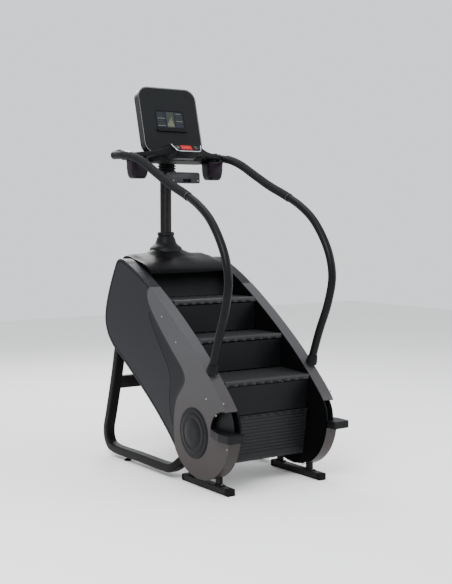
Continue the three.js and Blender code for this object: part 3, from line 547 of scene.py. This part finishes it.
# Rest places of the step axles and of the step noses, in hub coordinates.
AXLES = [(.57417, .98577), (.31907, .79097), (.06397, .59617), (-.17667, .38980),
         (.03316, .22946), (.26385, .45262), (.49454, .67579), (.72523, .89896)]
NOSES = [(.31907, .98577), (.06397, .79097), (-.19085, .58408), (-.13860, .13755),
         (.28653, .25915), (.51722, .48232), (.74791, .70549), (.67914, 1.14987)]
RUN = 0.2551
# Step 8 is narrower, because it passes between the side lips of the top cover.
HALF_WIDTH = {index: 0.2810 if index == 8 else 0.2832 for index in range(1, 9)}
KNUCKLE_COUNT, KNUCKLE_PITCH = 9, 0.0585
RIB_PITCH = 0.0192
# Heights of the deck over the line from axle to nose.
DECK_TOP, DECK_GROOVE, DECK_BOTTOM = 0.005, 0.0026, -0.007
# Clear length of a riser, from the axle below it to the nose above it.
RISER_LOW, RISER_HIGH = 0.010, 0.1683
RISER_THICKNESS, RISER_DISH = 0.0056, 0.0026
BODY_OF_STEP = {1: ("upper_steps", "upper_steps"), 2: ("upper_steps", "upper_steps"),
                3: ("step_3_tread", "step_3_riser"), 4: ("step_4_tread", "step_4_riser"),
                5: ("lower_steps", "lower_steps"), 6: ("lower_steps", "lower_steps"),
                7: ("step_7_tread", "step_7_riser"), 8: ("step_8_tread", "step_8_riser")}


def local_frame(origin, tip):
    """Turns (along, out) from an axle towards a nose into hub coordinates; out is the walking side."""
    origin, tip = Vector(origin), Vector(tip)
    along = (tip - origin).normalized()
    out = Vector((along.y, -along.x))
    return lambda d, h: tuple(origin + along * d + out * h)


def tread(index):
    """A ribbed deck with its nose strip, two rows of hinge knuckles, and pins and rollers on the axle."""
    place = local_frame(AXLES[index - 1], NOSES[index - 1])
    body = BODY_OF_STEP[index][0]
    half = HALF_WIDTH[index]
    points = [(0.004, DECK_BOTTOM), (-0.004, -0.004), (-0.006, 0), (-0.003, 0.0042), (0.008, DECK_TOP)]
    rib = 0.016
    while rib + RIB_PITCH < RUN - 0.012:
        points += [(rib, DECK_TOP), (rib + 0.0016, DECK_GROOVE), (rib + 0.0048, DECK_GROOVE),
                   (rib + 0.0064, DECK_TOP)]
        rib += RIB_PITCH
    points += [(RUN - 0.0125, DECK_TOP), (RUN - 0.0125, DECK_BOTTOM)]
    fit(prism(f"deck_{index}", [place(*p) for p in points], -half, half, DECK, body, 0.0006),
        f"tread_{index}")
    lip = [(RUN - 0.012, DECK_TOP), (RUN, DECK_TOP), (RUN + 0.0028, 0.0038), (RUN + 0.004, 0.001),
           (RUN + 0.004, -0.0205), (RUN + 0.0025, -0.022), (RUN - 0.003, -0.022), (RUN - 0.003, DECK_BOTTOM),
           (RUN - 0.012, DECK_BOTTOM)]
    fit(prism(f"nose_{index}", [place(*p) for p in lip], -half, half, NOSE, body, 0.0008))
    knuckles(f"nose_knuckles_{index}", place(RUN + 0.0012, -0.0150), 0.0078, body, 0.0)
    knuckles(f"axle_knuckles_{index}", place(0, -0.001), 0.0082, body, 0.5)

    rounds = [(side, *kind) for side in (-1, 1)
              for kind in ((0.005, 0.283, 0.295, OILED), (0.0117, 0.2955, 0.3055, RUBBER))]
    for k, (side, radius, inner_x, outer_x, material) in enumerate(rounds):
        lo, hi = span(side, inner_x, outer_x)
        chamfer = 0.0008
        lathe(f"roller_{index}_{k}",
              [(0, lo), (radius - chamfer, lo), (radius, lo + chamfer), (radius, hi - chamfer),
               (radius - chamfer, hi), (0, hi)],
              at(0, *place(0, 0), ry=math.pi / 2), material, body, 28)


def knuckles(name, centre, radius, body, phase):
    """A row of hinge knuckles across the step, as one piece."""
    verts, faces = [], []
    sides = 14
    quarter = KNUCKLE_PITCH * 0.25
    for k in range(KNUCKLE_COUNT):
        middle = (k - (KNUCKLE_COUNT - 1) / 2) * KNUCKLE_PITCH + (phase - 0.25) * 2 * quarter
        base = len(verts)
        for x in (middle - quarter, middle + quarter):
            verts += [(x, centre[0] + HUB_Y + a, centre[1] + b) for a, b in circle(radius, sides)]
        faces += [(base + j, base + (j + 1) % sides, base + sides + (j + 1) % sides, base + sides + j)
                  for j in range(sides)]
        faces += [tuple(range(base, base + sides)), tuple(range(base + sides, base + 2 * sides))]
    bevel(make(name, verts, faces, BLACK, body), 0.0008, 2)


def riser(index):
    """A dished panel between the nose of a step and the axle below it."""
    lower = Vector(AXLES[index % len(AXLES)])
    up = (Vector(NOSES[index - 1]) - lower).normalized()
    back = Vector((up.y, -up.x))
    steps = 14
    front, rear = [], []
    for k in range(steps + 1):
        share = k / steps
        depth = 0.0022 + RISER_DISH * math.sin(math.pi * share)
        point = lower + up * (RISER_LOW + (RISER_HIGH - RISER_LOW) * share)
        front.append(tuple(point + back * depth))
        rear.append(tuple(point + back * (depth + RISER_THICKNESS)))
    half = HALF_WIDTH[index]
    fit(prism(f"riser_panel_{index}", front + rear[::-1], -half, half, RISER, BODY_OF_STEP[index][1], 0.0012),
        f"riser_{index}")


for number in range(1, 9):
    tread(number)
    riser(number)


# ---------------------------------------------------------------- handrails and stand

RAIL = [(.338, -.150, .664), (.340, -.213, .830), (.344, -.279, .985), (.347, -.312, 1.130),
        (.348, -.292, 1.240), (.348, -.238, 1.342), (.347, -.140, 1.455), (.346, -.027, 1.530),
        (.345, .097, 1.586), (.345, .260, 1.648), (.345, .420, 1.720), (.345, .560, 1.784),
        (.345, .680, 1.820), (.345, .800, 1.836), (.345, .897, 1.838)]


RAIL_RADIUS = 0.0225
GRIP_X = .345  # where the rails run straight, at the top


def rail_path(side):
    return spline([(side * x, y, z) for x, y, z in RAIL], 0.008)


def ring(name, path, where, inner, outer, width, material):
    """A thin band round a tube, at a distance along its path."""
    here, travelled = 0, 0
    for here in range(1, len(path)):
        travelled += (path[here] - path[here - 1]).length
        if travelled > where:
            break
    turn = (path[here] - path[here - 1]).normalized().to_track_quat("Z", "Y").to_matrix().to_4x4()
    place = Matrix.Translation(path[here] + Vector((0, HUB_Y, 0))) @ turn
    half, chamfer = width / 2, 0.0008
    profile = [(inner, -half), (outer - chamfer, -half), (outer, -half + chamfer), (outer, half - chamfer),
               (outer - chamfer, half), (inner, half), (inner, -half)]
    return lathe(name, profile, place, material, steps=48)


for label, side in SIDES:
    path = rail_path(side)
    grip_x = side * GRIP_X
    fit(sweep(f"rail_{label}", path, RAIL_RADIUS, RAIL_GREY), f"handrail_{label}")
    split = next(i for i, p in enumerate(path) if p.y > 0.06 and p.z > 1.5)
    sleeve_path = path[split:-8]
    fit(sweep(f"sleeve_{label}", sleeve_path, 0.0252, SLEEVE, 0.0015))
    fit(ring(f"sleeve_ring_{label}", sleeve_path, 0.004, RAIL_RADIUS, 0.0257, 0.0035, DARK_STEEL))
    grip_path = spline([(grip_x, .772, 1.8325), (grip_x, .84, 1.837), (grip_x, .903, 1.838)], 0.004)
    grip = sweep(f"grip_{label}", grip_path, 0.0262, BLACK, 0.006,
                 lambda share: 1 - 0.10 * max(0, 1 - share / 0.15) ** 2)
    fit(grip)
    pad = box(f"switch_frame_{label}", (grip_x - .0105, .820, 1.8585), (grip_x + .0105, .872, 1.8645), BLACK,
              width=0.002)
    for target in (pad, grip):
        boolean(target, box("t", (grip_x - .0076, .8253, 1.84), (grip_x + .0076, .8667, 1.9), BLACK, None, 0))
    switch = box(f"switch_{label}", (grip_x - .007, .826, 1.8595), (grip_x + .007, .866, 1.8678), RUBBER,
                 f"grip_switch_{label}", 0.0016)
    fit(switch, f"grip_switch_{label}")
    # a dark boot where the rail meets the shroud, leaning with the rail
    lean = math.atan2(.213 - .150, .830 - .664)
    collar = [(0.0232, -0.016), (0.0330, -0.016), (0.0320, 0.000), (0.0290, 0.016), (0.0262, 0.030),
              (0.0250, 0.034), (0.0232, 0.034), (0.0232, -0.016)]
    fit(lathe(f"rail_collar_{label}", collar, at(side * .3383, -.1505, .6575, rx=lean), BLACK))


LEG = [(.322, .884, .676), (.330, .925, .470), (.343, .973, .240), (.347, .9890, .170), (.347, .9835, .107),
       (.347, .952, .066), (.347, .900, .052), (.347, .600, .052), (.347, .300, .052), (.345, .240, .057),
       (.338, .192, .082), (.324, .156, .116)]
LEG_SECTION = rounded_outline(0.030, -0.025, 0.025, 0.010, 6)
LEVEL_FOOT = [(0, 0), (0.021, 0), (0.022, 0.001), (0.022, 0.006), (0.019, 0.0095), (0.0105, 0.011),
              (0.0105, 0.018), (0.0085, 0.018), (0.0085, 0.0262), (0, 0.0262)]
LEVEL_NUT = [(0.0088, 0.0175), (0.0125, 0.0175), (0.0125, 0.0235), (0.0088, 0.0235), (0.0088, 0.0175)]
FOOT_BOLT = [(0, .047), (.0042, .047), (.0048, .0462), (.0048, .0428), (0, .0428)]
# The hub cover is a shallow dish with two plain rings.
HUB = [(0, .3695), (.030, .3697), (.078, .3693), (.081, .3680), (.0835, .3680), (.0865, .3689), (.112, .3680),
       (.1148, .3667), (.1175, .3667), (.1205, .3674), (.134, .3662), (.1385, .3645), (.140, .3625),
       (.140, .3612), (0, .3612)]
SCREW = [(0, .3612), (.0018, .3612), (.0024, .3621), (.0044, .3619), (.0050, .3612), (.0050, .3600),
         (0, .3600)]
SCREW_PLACES = ((-.123, .500), (-.288, .498), (-.218, .424), (-.320, .262), (.120, .240), (.330, .905),
                (.180, .775), (-.040, .170))

for label, side in SIDES:
    leg = loft(f"leg_{label}", along(spline([(side * x, y, z) for x, y, z in LEG], 0.01), LEG_SECTION), FRAME)
    fit(leg, f"rear_leg_{label}")
    under_leg = at(side * .347, .755, 0)
    fit(lathe(f"level_foot_{label}", LEVEL_FOOT, under_leg, RUBBER), f"leveller_{label}")
    fit(lathe(f"level_nut_{label}", LEVEL_NUT, under_leg, STEEL, steps=6, angle=20))

    low_x, high_x = span(side, .285, .335)
    fit(box(f"foot_bar_{label}", (low_x, -.262, .0015), (high_x, .142, .038), FRAME, width=0.004),
        f"front_foot_{label}")
    for end, (y0, y1) in (("front", (-.288, -.2622)), ("back", (.1422, .166))):
        fit(box(f"foot_cap_{end}_{label}", (low_x - .0003, y0, 0.0), (high_x + .0003, y1, .0384), RUBBER,
                width=0.006, segments=4))
    for tag, post_y in FOOT_POSTS:
        low_x, high_x = span(side, .298, .3205)
        fit(box(f"foot_post_{label}_{tag}", (low_x, post_y - .020, .0375), (high_x, post_y + .020, .128),
                FRAME, width=0.0025))
        low_x, high_x = span(side, .290, .330)
        fit(box(f"foot_flange_{label}_{tag}", (low_x, post_y - .032, .0378), (high_x, post_y + .032, .0428),
                FRAME))
        for end, bolt_y in (("n", -.026), ("p", .026)):
            fit(lathe(f"foot_bolt_{label}_{tag}_{end}", FOOT_BOLT, at(side * .310, post_y + bolt_y, 0), STEEL,
                      steps=24))

    fit(lathe(f"hub_{label}", HUB, at(0, 0, HUB_Z, ry=side * math.pi / 2), HUB_DARK, steps=128, angle=40),
        f"hub_cap_{label}")

for label, side in SIDES:
    for k, (y, z) in enumerate(SCREW_PLACES):
        fit(lathe(f"screw_{label}_{k}", SCREW, at(0, y, z, ry=side * math.pi / 2), STEEL, steps=20))


# ---------------------------------------------------------------- covers and mast

MAST_Y = .875
COVER_SPINE = [(0, .579, 1.1405), (0, .5815, 1.1475), (0, .650, 1.186), (0, .760, 1.222), (0, .850, 1.242),
               (0, .900, 1.236), (0, .935, 1.200), (0, .958, 1.132)]
COVER_HALF, COVER_LIP, COVER_THICKNESS = 0.2843, 0.038, 0.003


def smoothstep(low, high, value):
    t = min(1, max(0, (value - low) / (high - low)))
    return t * t * (3 - 2 * t)


def top_cover():
    """A moulded sheet with a raised saddle round the mast that runs down towards the front."""
    columns = 72
    spine = spline(COVER_SPINE, .006)
    verts = []
    for p in spine:
        row = []
        for c in range(columns + 1):
            x = COVER_HALF * (2 * c / columns - 1)
            near = math.hypot(x / 0.155, (p.y - .862) / 0.125)
            saddle = 0.034 * (1 - smoothstep(0.35, 1.15, near)) * (1 - smoothstep(.905, .940, p.y))
            swoop = 0.014 * math.exp(-(((x - .02) / .075) ** 2 + ((p.y - .745) / .060) ** 2))
            edge = -0.012 * smoothstep(.235, .284, abs(x)) * smoothstep(.62, .80, p.y)
            row.append((x, p.y + HUB_Y, p.z + saddle + swoop + edge))
        for side, (x, y, z) in ((-1, row[0]), (1, row[-1])):
            row.insert(0 if side < 0 else len(row), (x + side * 0.0002, y, z - COVER_LIP))
        verts += row
    n = columns + 3
    faces = [(r * n + c, r * n + c + 1, (r + 1) * n + c + 1, (r + 1) * n + c)
             for r in range(len(spine) - 1) for c in range(n - 1)]
    sheet = make("cover", verts, faces, COVER_BLACK, None, 40)
    solid = sheet.modifiers.new("thick", "SOLIDIFY")
    solid.thickness = COVER_THICKNESS
    solid.offset = -1
    fit(retouch(applied(sheet), COVER_BLACK), "top_cover")


top_cover()
MAST = [(0, .766), (.035, .766), (.035, 1.736), (.034, 1.738), (0, 1.738)]
fit(lathe("mast_tube", MAST, at(0, MAST_Y, 0), FRAME, steps=96), "mast")
BOOT = [(.0356, 1.236), (.104, 1.236), (.101, 1.270), (.0965, 1.2775), (.087, 1.286), (.074, 1.295),
        (.0655, 1.306), (.0605, 1.320), (.0565, 1.334), (.0535, 1.338), (.0535, 1.342), (.0515, 1.3445),
        (.0485, 1.3445), (.0485, 1.350), (.0520, 1.352), (.0525, 1.366), (.0505, 1.370), (.0470, 1.3735),
        (.0356, 1.3738), (.0356, 1.236)]
fit(lathe("boot", BOOT, at(0, MAST_Y, 0), BLACK, steps=96, angle=50), "mast_boot")
NECK = [(0, 1.7385)]
for bellow in range(6):
    z = 1.741 + bellow * 0.0165
    NECK += [(.049, z), (.0565, z + .0030), (.0575, z + .0060), (.0565, z + .0090), (.049, z + .0120)]
NECK += [(.044, 1.842), (0, 1.842)]
fit(lathe("neck", NECK, at(0, .862, 0), BLACK, steps=80, angle=60), "console_neck")


# ---------------------------------------------------------------- console

# The console's own frame: X across, Z up the face, Y into the console.
FACE = at(0, .780, 1.925, rx=math.radians(-15))
DISPLAY_BARS = (.016, .030, .024, .042, .052, .036, .060, .038, .020)


def on_face(name, outline, front, back, material, body="frame", width=0.0, segments=2):
    """A plate on the console: outline in (across, up), between two depths behind the face."""
    return extrude(name, outline, (front, back), lambda a, b, depth: FACE @ Vector((a, depth, b)), material,
                   body, width, segments)


def console():
    shell = on_face("shell", rounded_outline(.207, -.080, .345, .072, 18), .0, .050, SHELL_GREY, None)
    boolean(shell, on_face("t", rounded_outline(.2035, -.0765, .3415, .0685, 18), -.01, .006, BLACK, None))
    boolean(shell, on_face("t", rounded_outline(.150, .02, .28, .03, 8), .047, .06, BLACK, None))
    fit(bevel(retouch(shell, SHELL_GREY), 0.004, 4), "console_shell")
    trim = on_face("shell_trim", rounded_outline(.2033, -.0763, .3413, .0683, 18), .0008, .0055, STEEL, None)
    boolean(trim, on_face("t", rounded_outline(.2008, -.0738, .3388, .0658, 18), -.01, .02, BLACK, None))
    fit(retouch(trim, STEEL))
    face = on_face("face", rounded_outline(.2003, -.0733, .3383, .0653, 18), .0012, .0062, GLOSS, None)
    boolean(face, on_face("t", rounded_outline(.1015, .0835, .1975, .006, 5), -.01, .0042, BLACK, None))
    fit(bevel(retouch(face, GLOSS), 0.0008, 2), "console_face")
    fit(on_face("screen", rounded_outline(.1000, .085, .196, .005, 5), .0022, .0041, SCREEN, width=0.0004))
    # plain coloured blocks and bars stand for the display's picture
    for k, (x0, x1, material) in enumerate(((-.094, -.030, DISPLAY_DIM), (-.026, .030, DISPLAY_MID),
                                            (.034, .094, DISPLAY_DIM))):
        on_face(f"display_panel_{k}", rectangle(x0, x1, .091, .190), .0019, .0023, material)
    for k, height in enumerate(DISPLAY_BARS):
        x0 = -.0225 + k * .0052
        on_face(f"display_bar_{k}", rectangle(x0, x0 + .0035, .097, .097 + height), .0016, .0020,
                DISPLAY_LIGHT)
    for k in range(6):
        z = .100 + k * .0155
        for tag, x0, x1, dim in (("l", -.090, -.037 - .009 * (k % 3), k % 3),
                                 ("r", .040, .088 - .011 * (k % 2), (k + 1) % 3)):
            on_face(f"display_line_{k}_{tag}", rectangle(x0, x1, z, z + .004), .0016, .0020,
                    DISPLAY_MID if dim else DISPLAY_LIGHT)
    fit(on_face("ledge", rounded_outline(.106, .062, .079, .006, 5), -.012, .0013, SATIN_BLACK, width=0.002))
    fit(on_face("ledge_lip", rounded_outline(.106, .0765, .0835, .003, 4), -.0125, -.0095, SATIN_BLACK,
                width=0.001))
    fixing = [(0, -.0004), (.006, -.0004), (.0068, .0004), (.0068, .002), (0, .002)]
    for tag, side in (("l", -1), ("r", 1)):
        place = FACE @ Matrix.Translation((side * .135, 0, .300)) @ Matrix.Rotation(-math.pi / 2, 4, "X")
        fit(lathe(f"face_fixing_{tag}", fixing, place, SATIN_BLACK, steps=32))
    fit(on_face("back_plate", rounded_outline(.148, .022, .278, .028, 8), .0468, .0494, BLACK, width=0.001))
    for k in range(9):
        z = .16 + k * .011
        fit(on_face(f"back_vent_{k}", rounded_outline(.07, z, z + .005, .0024, 4), .0490, .0498, RUBBER))


console()

# ---------------------------------------------------------------- control tray, cups and receiver

# The keypad's own frame: X across, Y up the slope, Z out of it.
KEYPAD = at(0, .600, 1.858, rx=math.radians(45))
CUP_X, CUP_Y = .268, .757


def hull(points):
    """A closed convex body round points given in hub millimetres."""
    bm = bmesh.new()
    for x, y, z in points:
        bm.verts.new((x / 1000, y / 1000 + HUB_Y, z / 1000))
    made = bmesh.ops.convex_hull(bm, input=bm.verts)
    loose = {v for v in made["geom_interior"] + made["geom_unused"] if isinstance(v, bmesh.types.BMVert)}
    bmesh.ops.delete(bm, geom=list(loose), context="VERTS")
    mesh = bpy.data.meshes.new("hull")
    bm.to_mesh(mesh)
    bm.free()
    return finish_mesh("hull", mesh, SATIN_BLACK, None)


def on_keypad(name, outline, low, high, material, body="frame", width=0.0):
    """A plate on the keypad: outline in (across, up), between two heights above it."""
    return extrude(name, outline, (low, high), lambda a, b, height: KEYPAD @ Vector((a, b, height)), material,
                   body, width, 3)


def tube(name, points, spacing, radius):
    """A bright rod with rounded ends along a curve."""
    rings = along(spline(points, spacing), circle(radius, 14),
                  lambda share: 0.55 if share in (0, 1) else 1, level=True)
    fit(loft(name, rings, BRIGHT, angle=50))


# Sections of an arm from the keypad body out to the handrail, in hub millimetres: the place across, then
# (Y, Z) of the front top, front bottom, back bottom and back top.
ARM_SECTIONS = [
    (93, (640, 1897), (640, 1848), (776, 1808), (776, 1864)),
    (130, (650, 1880), (650, 1842), (777, 1808), (777, 1861)),
    (175, (668, 1864), (668, 1834), (779, 1808), (779, 1857)),
    (230, (686, 1854), (686, 1827), (788, 1808), (788, 1852)),
    (318.5, (712, 1844), (712, 1818), (800, 1808), (800, 1845)),
]
KEY_SHAPES = {"level_key": (-.071, .0165, KEY_GREY), "stop_button": (-.008, .0385, STOP_RED),
              "speed_key": (.059, .0205, KEY_GREY)}
# The right half of the keypad body, and the corners of the body under it.
KEYPAD_BODY = ((80, 602, 1851), (85, 600, 1858), (112, 643, 1901), (112, 653, 1901), (60, 776, 1872),
               (122, 776, 1863), (122, 776, 1800), (60, 640, 1818))
UNDER_BODY = ((150, 700, 1806), (190, 752, 1789), (205, 852, 1791), (205, 852, 1838), (205, 740, 1840),
              (150, 700, 1838))
RAIL_GAP = 318.5  # where the tray meets the handrails
KEYPAD_RECESS = [(-.080, .006), (-.074, .0035), (.074, .0035), (.080, .006), (.1005, .0575), (-.1005, .0575)]
KEYPAD_TRIM = [(-.1035, .0575), (-.0945, .034), (-.0850, .0095), (-.0790, .0035), (-.0680, .0008), (0, .0005),
               (.0680, .0008), (.0790, .0035), (.0850, .0095), (.0945, .034), (.1035, .0575)]
TRAY_TRIM = [(.066, .7785, 1.8745), (.095, .780, 1.8685), (.124, .7815, 1.8625), (.152, .7830, 1.8590)]


def both_sides(points):
    return [(side * x, y, z) for x, y, z in points for side in (1, -1)]


def control_tray():
    tray = hull(both_sides(KEYPAD_BODY))
    parts = []
    for side in (-1, 1):
        for (x0, *first), (x1, *second) in zip(ARM_SECTIONS, ARM_SECTIONS[1:]):
            parts.append(hull([(side * (x0 - 1), *p) for p in first] + [(side * x1, *p) for p in second]))
    parts.append(hull(both_sides(UNDER_BODY)))
    parts.append(hull([(x, y, z) for x in (-RAIL_GAP, RAIL_GAP) for y in (785, 862) for z in (1807, 1845)]))
    for part in parts:
        boolean(tray, part, "UNION")
    remesh = tray.modifiers.new("remesh", "REMESH")
    remesh.mode = "VOXEL"
    remesh.voxel_size = 0.0024
    smooth = tray.modifiers.new("smooth", "SMOOTH")
    smooth.factor = 0.5
    smooth.iterations = 9
    applied(tray)
    boolean(tray, on_face("t", rounded_outline(.240, -.081, .360, .020, 3), -.001, .080, BLACK, None))
    boolean(tray, on_keypad("t", KEYPAD_RECESS, -.0022, .03, BLACK, None))
    for across, half, _ in KEY_SHAPES.values():
        pocket = shifted(rounded_outline(half + .001, .013, .051, .005, 4), across)
        boolean(tray, on_keypad("t", pocket, -.0135, .03, BLACK, None))
    for side in (-1, 1):
        boolean(tray, lathe("t", [(0, 1.79), (.044, 1.79), (.044, 1.9), (0, 1.9)], at(side * CUP_X, CUP_Y, 0),
                            BLACK, None, 48))
    fit(retouch(tray, BLACK, angle=38), "control_tray")
    tube("keypad_trim", [KEYPAD @ Vector((a, b, .0004)) - Vector((0, HUB_Y, 0)) for a, b in KEYPAD_TRIM],
         .003, .0030)
    for label, side in SIDES:
        tube(f"tray_trim_{label}", [(side * x, y, z) for x, y, z in TRAY_TRIM], .004, .0026)


def keys():
    """A cap on each key's body, with plain marks: arrows, rising bars and a red bar."""
    for name, (across, half, material) in KEY_SHAPES.items():
        key = on_keypad(name + "_cap", shifted(rounded_outline(half, .014, .050, .0045, 6), across), -.009,
                        .0013, material, name, .0012)
        fit(key, name)
    marks = {"speed_key": [[(.053, .036), (.065, .036), (.059, .044)],
                           [(.053, .028), (.059, .020), (.065, .028)]],
             "level_key": [rectangle(-.080 + k * .0072, -.0758 + k * .0072, .021, .028 + k * .007)
                           for k in range(3)],
             "stop_button": [shifted(rounded_outline(.0215, .0255, .0385, .003, 4), -.008)]}
    for name, shapes in marks.items():
        for k, shape in enumerate(shapes):
            on_keypad(f"{name}_mark_{k}", shape, .0010, .0016,
                      MARK_RED if name == "stop_button" else DISPLAY_LIGHT, name)


# (half width, corner radius, height) up the outside of a cup and down its inside.
CUP_LEVELS = [(.0330, .022, 1.6942), (.0385, .0245, 1.6955), (.0430, .026, 1.7000), (.0480, .027, 1.7110),
              (.0520, .028, 1.7300), (.0545, .028, 1.7600), (.0552, .0285, 1.7925), (.0568, .0295, 1.7935),
              (.0568, .0295, 1.8045), (.0560, .0290, 1.8055), (.0522, .0255, 1.8055), (.0514, .0250, 1.8045),
              (.0505, .0245, 1.7600), (.0475, .0240, 1.7300), (.0400, .0230, 1.7040), (.0330, .0220, 1.6992)]
CUP_MOUTH = [(.0405, -.050), (.0435, -.050), (.0435, -.001), (.0460, .0005), (.0466, .0016), (.0456, .0026),
             (.0430, .0026), (.0410, .0005), (.0405, -.004), (.0405, -.050)]


def cup(side, label):
    rings = [[(side * CUP_X + a, CUP_Y + HUB_Y + b, z)
              for a, b in rounded_outline(half, -half, half, corner, 8)]
             for half, corner, z in CUP_LEVELS]
    fit(loft(f"cup_{label}", rings, CUP_PLUM), f"cup_holder_{label}")
    # the lined mouth in the arm above, level with the arm's sloping top
    fit(lathe(f"cup_mouth_{label}", CUP_MOUTH, at(side * CUP_X, CUP_Y, 1.8495, ry=side * math.radians(6.5)),
              BLACK))


def contact_plate(side, label):
    """A curved metal plate on top of the handrail, where a hand rests."""
    path = [p for p in rail_path(side) if .690 < p.y < .768]
    turns = [math.radians(58 + 4 * k) for k in range(17)]
    section = [(radius * math.cos(t), radius * math.sin(t))
               for radius, order in ((.0246, turns), (.0258, turns[::-1])) for t in order]
    fit(bevel(loft(f"contact_plate_{label}", along(path, section), DARK_STEEL), .0005, 2))


def receiver():
    """A small module on a bracket from the mast, with a socket in its front."""
    outline = [*arc(.093, 1.676, .007, -90, 8), *arc(.082, 1.717, .018, 0, 8),
               *arc(-.082, 1.717, .018, 90, 8), *arc(-.093, 1.676, .007, 180, 8)]
    case = slab("receiver_case", outline, .640, .700, RECEIVER, None)
    socket_x = .0085
    boolean(case, slab("t", shifted(rounded_outline(.0285, 1.675, 1.694, .003, 4), socket_x), .630, .655,
                       BLACK, None))
    boolean(case, slab("t", rectangle(-.2, .2, 1.7, 1.7009), .63, .6412, BLACK, None))
    fit(bevel(retouch(case, RECEIVER), .0022), "receiver_box")
    fit(slab("receiver_socket", shifted(rounded_outline(.024, 1.678, 1.691, .002, 4), socket_x), .6520, .6546,
             RUBBER, width=.0006))
    for k, x in enumerate((-.086, .086)):
        fit(lathe(f"receiver_screw_{k}", [(0, -.0008), (.0022, -.0008), (.0030, 0), (.0030, .002), (0, .002)],
                  at(x, .640, 1.684, rx=-math.pi / 2), STEEL, steps=20))
    fit(box("receiver_bracket", (-.024, .6995, 1.6965), (.024, .8410, 1.7125), FRAME, width=.003))
    clamp = [(.0348, 1.690), (.0392, 1.690), (.0405, 1.6915), (.0405, 1.7175), (.0392, 1.719), (.0348, 1.719),
             (.0348, 1.690)]
    fit(lathe("receiver_clamp", clamp, at(0, MAST_Y, 0), BLACK, steps=72))


control_tray()
keys()
receiver()
for label, side in SIDES:
    cup(side, label)
    contact_plate(side, label)

# ---------------------------------------------------------------- inner parts, floor, lights and camera

# The main frame gets the near-black painted shade, as it sits deep inside.
for name, material in {
        "main_frame": SHADE_BLACK, "rear_cross_bar": FRAME, "alternator": FRAME, "rear_cover": BLACK,
        "drive_belt": RUBBER, "upper_shaft": OILED, "front_idler_shaft": OILED,
        "lower_idler_shaft": OILED, "alternator_pulley": STEEL, "step_chain_left": OILED,
        "step_chain_right": OILED}.items():
    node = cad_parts[name]
    node.data.materials[0] = material
    bevel(node, 0.0012, 2)

floor_mesh = bpy.data.meshes.new("floor")
FLOOR = rectangle(-9, 9, -9, 9)
floor_mesh.from_pydata([(x, y, 0) for x, y in FLOOR], [], [(0, 1, 2, 3)])
floor = bpy.data.objects.new("floor", floor_mesh)
floor_mesh.materials.append(surface("floor_paint", "e9e9e8", 0.75, grain=90, bump=0.0002, mottle=0.01))
bpy.context.scene.collection.objects.link(floor)


def light(name, place, target, size, power):
    lamp = bpy.data.lights.new(name, "AREA")
    lamp.shape = "RECTANGLE"
    lamp.size, lamp.size_y = size
    lamp.energy = power
    obj = bpy.data.objects.new(name, lamp)
    obj.location = place
    obj.rotation_euler = (Vector(target) - Vector(place)).to_track_quat("-Z", "Y").to_euler()
    bpy.context.scene.collection.objects.link(obj)


light("key", (-3.2, -2.6, 4.2), (0, 0, 1.0), (2.6, 2.6), 300)
light("fill", (3.4, -2.8, 2.4), (0, 0, 0.9), (3.0, 3.0), 120)
light("back", (0.8, 4.0, 3.6), (0, 0, 1.2), (3.0, 2.0), 190)
light("top", (0, 0, 5.5), (0, 0, 0), (4.0, 4.0), 150)
world = bpy.data.worlds.new("studio")
world.use_nodes = True
world.node_tree.nodes["Background"].inputs["Color"].default_value = (0.95, 0.97, 1.0, 1)
world.node_tree.nodes["Background"].inputs["Strength"].default_value = 1.25
bpy.context.scene.world = world

camera_data = bpy.data.cameras.new("camera")
camera_data.lens = 65.58
camera_data.sensor_width = 36
camera_data.clip_end = 60
camera = bpy.data.objects.new("camera", camera_data)
camera.location = (-3.4479, -4.8007 + HUB_Y, 1.4641)
camera.rotation_euler = (math.radians(85.983), 0, math.radians(-34.5085))
bpy.context.scene.collection.objects.link(camera)
bpy.context.scene.camera = camera
